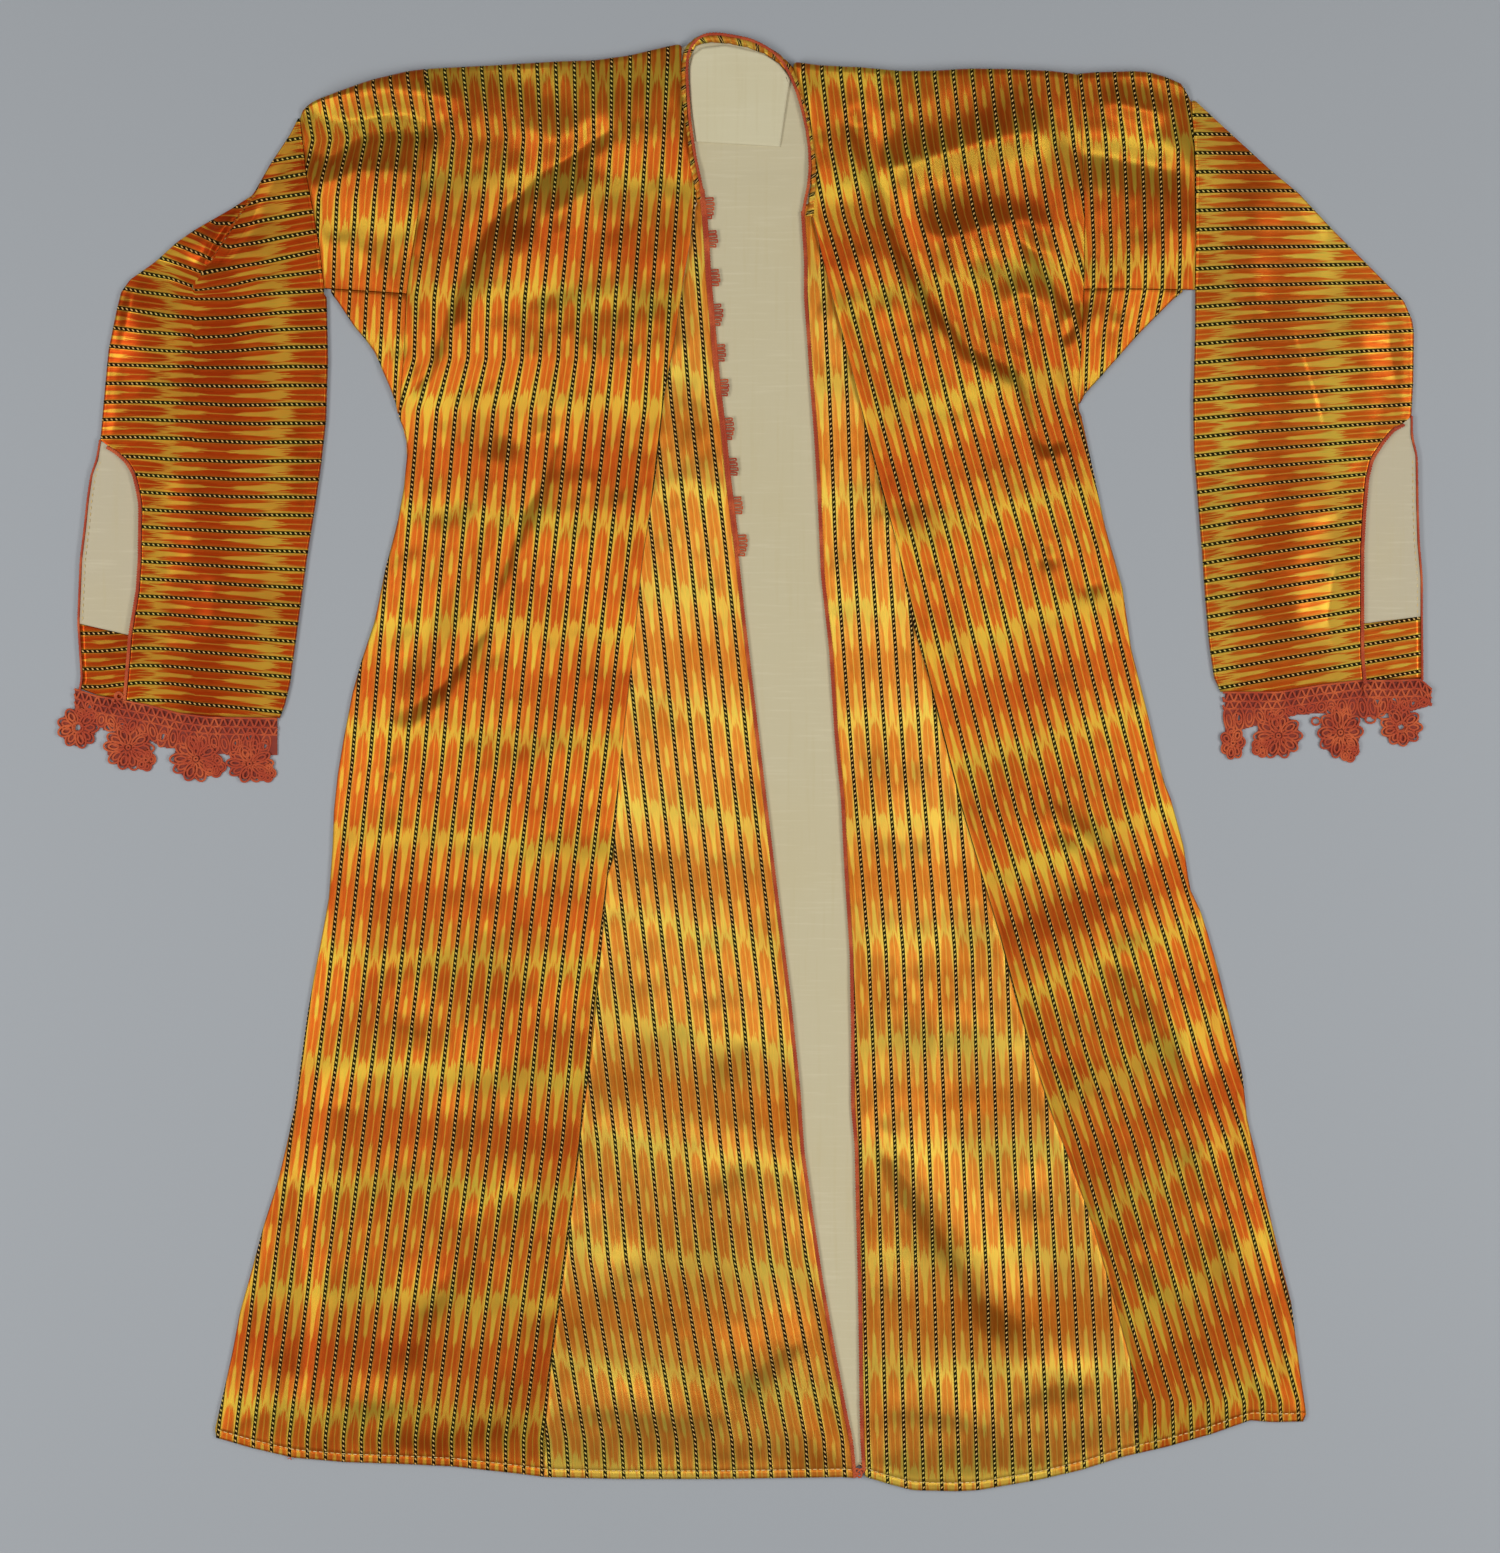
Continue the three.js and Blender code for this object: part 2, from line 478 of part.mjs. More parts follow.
function shoulderPiece(side) {
  const half = (side.sign * SEAM) / 2;
  const inner = (y) => xAt(side.shoulderSeam, y) + half;
  const outer = (y) => xAt(side.armhole, y) - half;
  const innerRows = backSeamRows(side).slice(0, 4);
  const underarmY = yAt(side.underarm, outer(UNDERARM_Y));
  const crown = foldHeight(side, outer(ARMHOLE_TOP));
  return overShoulder(side, {
    columns: 7,
    first: LEVEL.underarm,
    foldRows: 3,
    backRows: 1 + innerRows.length,
    inner,
    outer,
    innerStops: sideStops(side),
    outerStops: [[LEVEL.underarm, underarmY], [LEVEL.shoulder, crown]],
    spread: (s) => s,
    foot: (x) => yAt(side.underarm, x) + SEAM / 2,
    footStart: UNDERARM_Y,
    backPoint: (back, share) => {
      const level = (back - 1) / (innerRows.length - 1);
      const y = lerp(innerRows[back - 1], lerp(BACK_ARMHOLE, underarmY, level), share) + (level * SEAM) / 2;
      return [lerp(inner(y) + half, outer(y) - half, share), y];
    },
  });
}

// ---------------------------------------------------------------- front gores

// A long triangle between the body length and the opening, its front edge bound with braid
function frontGore(side) {
  const columns = 10;
  const half = (side.sign * SEAM) / 2;
  const cut = {
    first: LEVEL.foot,
    inner: (y) => xAt(side.frontEdge, y) + side.sign * (BRAID_WIDE + 2 * SEAM),
    outer: (y) => xAt(side.goreSeam, y) - half,
    innerStops: [[LEVEL.foot, side.frontEdge[0].y], [LEVEL.goreTop, GORE_TOP], [LEVEL.shoulder, SHOULDER_Y]],
    outerStops: [...goreStops(side), [LEVEL.shoulder, SHOULDER_Y]],
  };
  return clothWall(columns, LEVEL.goreTop + 1, SILK, (i, j) => {
    const share = i / (columns - 1);
    const footY = settle(share, cut, (x) => yAt(side.hem, x), HEM_Y);
    const y = rowHeight(cut, share, j, footY, SHOULDER_Y);
    const x = lerp(cut.inner(y), cut.outer(y), share);
    return flat(x, y, upperMid(side, x, y));
  });
}

// ---------------------------------------------------------------- pieces folded at one edge

// Columns that run across the upper layer, round a fold at one edge, and back across the lower layer.
// At each y: far is where the upper layer starts, fold where it turns, near where the lower layer ends.
function foldedAcross(side, cut) {
  const { upper, turn, lower, rowsAt } = cut;
  const columns = upper + turn + lower;
  const place = (i, j) => {
    const level = rowsAt[j];
    const yFor = (x) => cut.bend ? cut.bend(level, x) : level;
    const meet = (edge) => edge(yFor(edge(yFor(edge(level)))));
    const foldX = meet(cut.fold);
    const farX = meet(cut.far);
    const way = Math.sign(foldX - farX);
    const radius = (upperMid(side, foldX - 2 * way, level) - BACK_MID) / 2; // 2 mm in from the fold
    const open = cut.slit && level > cut.slit;
    const middleX = open ? foldX : foldX - way * (radius + SILK / 2);
    if (i < upper) {
      const x = lerp(farX, middleX, i / (upper - 1));
      const height = upperMid(side, x, yFor(x));
      return flat(x, yFor(x), !open && i === upper - 1 ? BACK_MID + 2 * radius : height);
    }
    if (i < upper + turn) {
      const angle = (Math.PI * (i - upper + 1)) / (turn + 1);
      const face = [way * Math.sin(angle), 0, Math.cos(angle)];
      return {
        at: [middleX + radius * face[0], yFor(foldX), BACK_MID + radius + radius * face[2]],
        face,
      };
    }
    const x = lerp(middleX, meet(cut.near), (i - upper - turn) / (lower - 1));
    return { at: [x, yFor(x), BACK_MID], face: [0, 0, -1] };
  };
  const inTurn = (i) => i >= upper - 1 && i < upper + turn;
  const keep = (i, j) => !(cut.slit && inTurn(i) && rowsAt[j + 1] > cut.slit);
  return clothWall(columns, rowsAt.length, SILK, place, keep);
}

// The cuff's curve fades out over the lower sleeve
const CUFF_FADE = 150;

// Rows of the sleeve where it is sewn to the shoulder piece: the same as that piece's own
const ARMHOLE_STEPS = 10;
function armholeRows(side) {
  const half = (side.sign * SEAM) / 2;
  const foot = yAt(side.underarm, xAt(side.armhole, UNDERARM_Y));
  const crown = foldHeight(side, xAt(side.armhole, ARMHOLE_TOP) - half);
  return Array.from({ length: ARMHOLE_STEPS }, (_, k) => lerp(foot, crown, k / ARMHOLE_STEPS));
}

function sleeve(side) {
  const half = (side.sign * SEAM) / 2;
  const cuffBase = Math.min(...side.cuff.map((row) => row.y));
  const ventTop = side.ventEdge[side.ventEdge.length - 1].y;
  const armpit = side.sleeveInner[side.sleeveInner.length - 1].y;
  const upperRows = armholeRows(side);
  const middleRows = [1, 2, 3].map((k) => lerp(ventTop, armpit, k / 4));
  const ventRows = side.ventEdge.filter((row) => row.y > 80 && row.y < ventTop).map((row) => row.y);
  const lowerRows = [cuffBase, lerp(cuffBase, ventRows[0], 0.5)];
  const rowsAt = [...lowerRows, ...ventRows, ventTop, ...middleRows, armpit, ...upperRows];
  return foldedAcross(side, {
    upper: 9,
    turn: 3,
    lower: 4,
    rowsAt,
    slit: armpit + 1,
    far: (y) => xAt(y > ventTop ? side.sleeveOuter : side.ventEdge, y),
    fold: (y) => (y > armpit + 1 ? xAt(side.armhole, y) + half : xAt(side.sleeveInner, y)),
    near: (y) => xAt(y > ventTop ? side.sleeveOuter : side.sleeveBack, y),
    bend: (level, x) => level + (yAt(side.cuff, x) - cuffBase) * (1 - smooth((level - cuffBase) / CUFF_FADE)),
  });
}

function gusset(side) {
  const seamGap = side.sign * SEAM;
  const low = side.gussetEdge[0].y + 6;
  const seamX = (y) => xAt(side.shoulderSeam, y) + seamGap / 2;
  const high = Math.min(...side.underarm.map((row) => row.y)) - SEAM - 2;
  const levels = [1, 2, 3].map((k) => station(sideStops(side), LEVEL.gussetTip + k));
  const rowsAt = [low, ...levels.filter((y) => y > low + 4), high];
  return foldedAcross(side, {
    upper: 4,
    turn: 3,
    lower: 3,
    rowsAt,
    far: seamX,
    fold: (y) => xAt(side.gussetEdge, y),
    near: seamX,
    bend: (level, x) => level + (yAt(side.underarm, x) - SEAM / 2 - high) * smooth((level - low) / (high - low)),
  });
}

// ---------------------------------------------------------------- linings, facing and patch

// The back of the lining, which shows in the opening and the neck
const LINING_TOP = along([[-250, 541], [-211, 545], [-120, 550], [-64, 558], [-50, 572], [-36, 577],
  [-16, 577.5], [-4, 575.5], [6, 573], [15, 570], [23, 566], [31, 560], [40, 552], [56, 546], [250, 538]]);
const LINING_INSET = 14; // inside the side seams
const LINING_RISE = 9; // above the hem

function backLining() {
  const columns = 16;
  const rows = 11;
  const edge = (side, y) => {
    const seam = y > side.shoulderSeam[0].y ? side.shoulderSeam : side.side;
    return xAt(seam, y) - side.sign * LINING_INSET;
  };
  return clothWall(columns, rows, LINING, (i, j) => {
    const share = i / (columns - 1);
    let top = SHOULDER_Y;
    let foot = HEM_Y;
    for (let k = 0; k < 8; k += 1) {
      top = yAt(LINING_TOP, lerp(edge(RIGHT, top), edge(LEFT, top), share));
      const footX = lerp(edge(RIGHT, foot), edge(LEFT, foot), share);
      foot = Math.max(yAt(RIGHT.hem, footX), yAt(footX > 90 ? LEFT.hem : RIGHT.hem, footX)) + LINING_RISE;
    }
    const y = lerp(foot, top, j / (rows - 1));
    return flat(lerp(edge(RIGHT, y), edge(LEFT, y), share), y, LINING_MID);
  });
}

// A plain four-sided piece of lining between two edges
function strip(low, high, left, right, rows, z, thickness) {
  const columns = 5;
  return clothWall(columns, rows, thickness, (i, j) => {
    const share = i / (columns - 1);
    const level = j / (rows - 1);
    let y = lerp(low(left(0)), high(left(0)), level);
    let x = 0;
    for (let k = 0; k < 4; k += 1) {
      x = lerp(left(y), right(y), share);
      y = lerp(low(x), high(x), level);
    }
    return flat(x, y, z);
  });
}

const LINING_UNDER = 46; // how far the sleeve lining reaches under the upper layer

function sleeveLining(side) {
  const hidden = (y) => xAt(side.ventEdge, y) - side.sign * LINING_UNDER;
  const shown = (y) => xAt(side.sleeveBack, y) - side.sign * 1.5;
  const ventTop = side.ventEdge[side.ventEdge.length - 1].y;
  const low = (x) => yAt(side.facingTop, x) + SEAM;
  return strip(low, () => ventTop - 12, hidden, shown, 8, LINING_MID, LINING);
}

function cuffFacing(side) {
  const hidden = (y) => xAt(side.ventEdge, y) - side.sign * LINING_UNDER;
  const shown = (y) => xAt(side.sleeveBack, y) - side.sign * 1;
  const low = (x) => yAt(side.cuff, x) + 4 * SEAM;
  return strip(low, (x) => yAt(side.facingTop, x), hidden, shown, 4, LINING_MID, LINING);
}

// The yoke patch: a second layer of cotton sewn on the lining below the back neck
function yokePatch() {
  const bottom = along([[-36, 496], [28, 492]]);
  const top = along([[-41, 565.5], [-34, 571], [-16, 573], [-4, 571], [6, 568.5], [15, 565.5], [20, 562.5]]);
  const left = across([[494, -38.5], [514, -41.2], [530, -43.3], [545, -44.2], [556, -43.8], [566, -41]]);
  const right = across([[492, 28], [535, 34], [562, 21]]);
  return strip(
    (x) => yAt(bottom, x),
    (x) => yAt(top, x),
    (y) => xAt(left, y),
    (y) => xAt(right, y),
    4,
    ON_LINING + LINING / 2,
    LINING,
  );
}

// ---------------------------------------------------------------- braid, binding, loops, lace

// A flat cord along a line on the coat: wide across it, high above it
function cordSolid(line, wide, high, sides, steps) {
  const curve = new THREE.CatmullRomCurve3(line.map(([x, y, z]) => new THREE.Vector3(x, y, z)));
  const section = new THREE.Shape(Array.from({ length: sides }, (_, k) => {
    const angle = (2 * Math.PI * (k + 0.5)) / sides;
    const swell = 1 / Math.cos(Math.PI / sides);
    return new THREE.Vector2((high / 2) * swell * Math.cos(angle), (wide / 2) * swell * Math.sin(angle));
  }));
  return new THREE.ExtrudeGeometry(section, { steps, bevelEnabled: false, extrudePath: curve });
}

const BRAID_Z = ON_LINING + BRAID_HIGH / 2;

// A line beside an edge that runs up the coat, out from it by a distance (in from it if negative)
function beside(table, sign, distance, z) {
  return table.map((row, k) => {
    const before = table[Math.max(0, k - 1)];
    const after = table[Math.min(table.length - 1, k + 1)];
    const [dx, dy] = [after.x - before.x, after.y - before.y];
    const length = Math.hypot(dx, dy);
    return [row.x + (sign * distance * dy) / length, row.y - (sign * distance * dx) / length, z];
  });
}

// A fan of crocheted button loops, as a plate with one round lobe for each arch
function loopFan(y) {
  const lobes = 3;
  const fan = new THREE.Shape();
  const outline = [];
  for (let k = 0; k < lobes; k += 1) {
    const middle = LOOP_TALL * ((k + 0.5) / lobes - 0.5);
    const radius = LOOP_TALL / lobes / 2;
    const reach = LOOP_WIDE * (k === 1 ? 1 : 0.86) - radius;
    for (const angle of [-80, -40, 0, 40, 80]) {
      const turn = (angle * Math.PI) / 180;
      outline.push([reach + radius * Math.cos(turn), middle + radius * Math.sin(turn)]);
    }
  }
  fan.moveTo(-1, -LOOP_TALL / 2 + 1);
  for (const [px, py] of outline) fan.lineTo(px, py);
  fan.lineTo(-1, LOOP_TALL / 2 - 1);
  fan.closePath();
  const plate = new THREE.ExtrudeGeometry(fan, { depth: LACE, bevelEnabled: false });
  const slope = (xAt(RIGHT.frontEdge, y - 10) - xAt(RIGHT.frontEdge, y + 10)) / 20;
  plate.rotateZ(Math.atan(slope));
  plate.translate(xAt(RIGHT.frontEdge, y), y, ON_LINING + 0.02);
  return solidOf(plate);
}

function rightFrontBraid() {
  const line = beside(RIGHT.frontEdge, 1, -BRAID_WIDE / 2, BRAID_Z);
  let braid = solidOf(cordSolid(line, BRAID_WIDE, BRAID_HIGH, 4, 34));
  for (const y of LOOP_HEIGHTS) braid = braid.add(loopFan(y));
  return geometryOf(braid);
}

function leftFrontBraid() {
  return cordSolid(beside(LEFT.frontEdge, 1, BRAID_WIDE / 2, BRAID_Z), BRAID_WIDE, BRAID_HIGH, 4, 34);
}

// The vent braid lies just outside the edge of the sleeve's upper layer
function ventBraid(side) {
  const rows = side.ventEdge.slice(0, -1);
  const line = beside(rows, side.sign, 2.5 * SEAM + BRAID_WIDE / 2, BRAID_Z);
  return cordSolid(line, BRAID_WIDE, BRAID_HIGH, 4, 16);
}

function neckBinding() {
  const line = NECK_LINE.map(([x, y]) => [x, y, ON_LINING + BINDING_HIGH / 2]);
  return cordSolid(line, BINDING_WIDE, BINDING_HIGH, 4, 40);
}

function flowerShape(flower) {
  const steps = flower.petals * 3;
  const outline = Array.from({ length: steps }, (_, k) => {
    const angle = (2 * Math.PI * k) / steps;
    const lobe = 0.86 + 0.14 * Math.abs(Math.sin((flower.petals * angle) / 2));
    return new THREE.Vector2(
      flower.x + flower.wide * lobe * Math.cos(angle),
      flower.y + flower.tall * lobe * Math.sin(angle),
    );
  });
  return new THREE.Shape(outline);
}

const plateOf = (shape, depth = LACE, z = 0) => {
  const plate = new THREE.ExtrudeGeometry(shape, { depth, bevelEnabled: false, curveSegments: 5 });
  return solidOf(plate.translate(0, 0, z));
};

function ovalOf(x, y, wide, tall) {
  const oval = new THREE.Shape();
  oval.absellipse(x, y, wide, tall, 0, 2 * Math.PI);
  return plateOf(oval, 3 * LACE, -LACE);
}

function cuffLace(lace) {
  let cloth = plateOf(new THREE.Shape(lace.band.map(([x, y]) => new THREE.Vector2(x, y))));
  for (const flower of lace.flowers) cloth = cloth.add(plateOf(flowerShape(flower)));
  for (const hole of lace.holes) cloth = cloth.subtract(ovalOf(hole.x, hole.y, hole.wide, hole.tall));
  for (const flower of lace.flowers.filter((row) => row.eye > 0)) {
    cloth = cloth.subtract(ovalOf(flower.x, flower.y, flower.eye, flower.eye));
  }
  return geometryOf(cloth);
}

// ---------------------------------------------------------------- the coat

const coat = new THREE.Group();

function add(name, geometry, { color, roughness }) {
  const mesh = new THREE.Mesh(geometry, new THREE.MeshStandardMaterial({ color, roughness, metalness: 0 }));
  mesh.name = name;
  coat.add(mesh);
}

for (const [name, side] of [['right', RIGHT], ['left', LEFT]]) {
  add(`${name}_body_length`, bodyLength(side), COLOURS.silk);
  add(`${name}_front_gore`, frontGore(side), COLOURS.gore);
  add(`${name}_shoulder_piece`, shoulderPiece(side), COLOURS.silk);
  add(`${name}_underarm_gusset`, gusset(side), COLOURS.silk);
  add(`${name}_sleeve`, sleeve(side), COLOURS.silk);
  add(`${name}_sleeve_lining`, sleeveLining(side), COLOURS.cotton);
  add(`${name}_cuff_facing`, cuffFacing(side), COLOURS.gore);
  add(`${name}_vent_braid`, ventBraid(side), COLOURS.crochet);
}
add('back_lining', backLining(), COLOURS.cotton);
add('neck_yoke_patch', yokePatch(), COLOURS.cotton);
add('neck_binding', neckBinding(), COLOURS.gore);
add('right_front_braid', rightFrontBraid(), COLOURS.crochet);
add('left_front_braid', leftFrontBraid(), COLOURS.crochet);
add('right_cuff_lace', cuffLace(RIGHT_LACE), COLOURS.crochet);
add('left_cuff_lace', cuffLace(LEFT_LACE), COLOURS.crochet);

export default coat;
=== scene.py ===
# %% [markdown]
# # An ikat coat, laid out flat
#
# The coat is sewn from narrow striped silk, lined with cotton and edged with coral crochet. It lies on its
# back. Each piece of cloth becomes a thin shell on the form of its solid, with the folds and the cloth's own
# pattern. Lengths are in millimetres in this file and become metres in the meshes.

import bpy
import numpy as np
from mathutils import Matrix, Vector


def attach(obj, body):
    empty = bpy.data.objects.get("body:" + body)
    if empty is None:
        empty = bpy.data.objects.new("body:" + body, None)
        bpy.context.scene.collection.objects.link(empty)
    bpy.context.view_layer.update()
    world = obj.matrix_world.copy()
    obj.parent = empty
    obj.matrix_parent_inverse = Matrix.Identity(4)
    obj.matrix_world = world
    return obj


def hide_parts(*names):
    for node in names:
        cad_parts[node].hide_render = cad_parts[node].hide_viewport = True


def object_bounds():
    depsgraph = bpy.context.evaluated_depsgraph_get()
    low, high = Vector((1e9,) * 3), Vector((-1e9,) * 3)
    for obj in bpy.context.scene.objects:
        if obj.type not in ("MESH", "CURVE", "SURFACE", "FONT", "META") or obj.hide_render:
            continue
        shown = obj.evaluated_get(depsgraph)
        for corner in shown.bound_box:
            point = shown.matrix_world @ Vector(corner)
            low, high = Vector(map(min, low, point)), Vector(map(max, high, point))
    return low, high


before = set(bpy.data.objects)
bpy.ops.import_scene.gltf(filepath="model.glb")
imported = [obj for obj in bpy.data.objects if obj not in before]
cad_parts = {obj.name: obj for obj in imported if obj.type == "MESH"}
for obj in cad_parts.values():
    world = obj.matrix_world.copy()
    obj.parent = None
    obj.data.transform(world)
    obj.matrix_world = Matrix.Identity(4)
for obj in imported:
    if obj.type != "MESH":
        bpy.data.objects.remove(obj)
at_load = [list(corner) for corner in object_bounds()]
MM = 0.001
print("solids span", np.round(np.subtract(at_load[1], at_load[0]), 4), "m")

# %% [markdown]
# ## Camera, floor and light
#
# A coat that lies flat is seen from straight above. A near camera would spread its outline, so this one
# stands nearly three metres up with a long lens. The floor is plain pale paper. Satin shows its folds only
# by what it reflects: one lamp above would flatten them, so two large soft lamps rake across from the sides,
# and a weak one above fills the shadows.

# %% Camera
LENS, SENSOR = 85, 36
PICTURE_TALL = 1242.4  # how much of the floor the picture shows, up its long side
PICTURE_MIDDLE = (4.0, -11.2)
camera = bpy.data.objects.new("camera", bpy.data.cameras.new("camera"))
bpy.context.scene.collection.objects.link(camera)
camera.data.lens = LENS
camera.data.sensor_width = SENSOR
camera.location = (PICTURE_MIDDLE[0] * MM, PICTURE_MIDDLE[1] * MM, PICTURE_TALL * MM * LENS / SENSOR)
camera.data.clip_end = 20
bpy.context.scene.camera = camera
print("camera stands", round(camera.location.z, 3), "m above the floor")


# %% Colours and nodes
def linear(code, alpha=1.0):
    """An sRGB hex colour as linear light: each channel below 0.04045 is divided by 12.92, and each above it
    is (c + 0.055) / 1.055 to the power 2.4."""
    c = np.array([int(code[i : i + 2], 16) for i in (1, 3, 5)]) / 255
    return (*np.where(c <= 0.04045, c / 12.92, ((c + 0.055) / 1.055) ** 2.4), alpha)


def add(tree, kind, *values, inputs=(), out=0, **settings):
    """Adds a node and gives its output out. kind is its type and, after a dot, its operation; values fill
    its inputs from the first on, and inputs pairs the name or place of an input with a value. A value that
    is a socket is joined on. settings are the node's own properties."""
    kind, _, operation = kind.partition(".")
    node = tree.nodes.new("ShaderNode" + kind)
    if operation:
        node.operation = operation
    for name, value in settings.items():
        setattr(node, name, value)
    for key, value in [*enumerate(values), *dict(inputs).items()]:
        if isinstance(value, bpy.types.NodeSocket):
            tree.links.new(value, node.inputs[key])
        else:
            node.inputs[key].default_value = value
    return node.outputs[out]


SOFT_STEP = {"interpolation_type": "SMOOTHSTEP"}  # a map range on an S-curve, held at both ends
COLOURS = {"data_type": "RGBA", "out": 2}  # a mix of colours: its share is input 0, the colours 6 and 7


def material(name):
    """An empty material and its tree, with a Principled shader joined to the output."""
    made = bpy.data.materials.new(name)
    made.use_nodes = True
    return made, made.node_tree, made.node_tree.nodes["Principled BSDF"]


print("mid grey in linear light:", round(float(linear("#808080")[0]), 3))

# %% Floor
# matt paper: no gloss at all, so it shows only the coat's soft shadow
paper, _, shader = material("pale_paper_backdrop")
shader.inputs["Base Color"].default_value = linear("#9FA3A7")
shader.inputs["Roughness"].default_value = 0.9
bpy.ops.mesh.primitive_plane_add(size=8, location=(0, 0, -0.0003))
floor = bpy.context.object
floor.name = "floor"
floor.data.materials.append(paper)
print("floor:", round(floor.dimensions.x, 1), "m square")


# %% Light
def lamp(name, place, wide, tall, power):
    """A soft oblong lamp that faces the middle of the coat; its tall side runs up the coat."""
    light = bpy.data.lights.new(name, "AREA")
    light.shape = "RECTANGLE"
    light.size, light.size_y, light.energy = wide, tall, power
    holder = bpy.data.objects.new(name, light)
    bpy.context.scene.collection.objects.link(holder)
    holder.location = place
    holder.rotation_euler = (0, np.arctan2(place[0], place[2]), 0)


lamp("lamp_left", (-1.9, -0.38, 1.75), 0.7, 2.2, 36)
lamp("lamp_right", (1.9, -0.38, 1.75), 0.7, 2.2, 34.5)
lamp("lamp_above", (0.0, 0.35, 3.6), 3.2, 1.1, 28)
world = bpy.data.worlds.new("room")
bpy.context.scene.world = world
world.use_nodes = True
world.node_tree.nodes["Background"].inputs[0].default_value = linear("#E4E6EA")
world.node_tree.nodes["Background"].inputs[1].default_value = 0.2
bpy.context.scene.view_settings.view_transform = "Standard"
print("lamps:", [f"{light.name} {light.energy:.1f} W" for light in bpy.data.lights])

# %% [markdown]
# ## The cut
#
# A coat like this is straight and tapered pieces of one narrow cloth. The panels could be drawn as curves and
# filled, but every seam is shared by two of them, so each edge is one short table that both read. An edge
# that runs up the coat gives x at each height y; one that runs across gives y at each x. "right" is the
# wearer's right, at -X.

# %% Edges of the cut
SILK, LINING, SEAM = 1.2, 1.0, 0.3  # thickness of the two cloths, and the gap that stands for a seam
LINING_TOP = SILK + SEAM + LINING
FRONT_MID = LINING_TOP + SEAM + SILK / 2
SIDE_MID = SILK + SEAM + SILK / 2
ON_LINING = LINING_TOP + SEAM
BRAID_WIDE = 4.0
PUFF, PUFF_REACH, SEAM_ROLL = 4.5, 46, 12  # how high the upper layer puffs, and how far from its edges

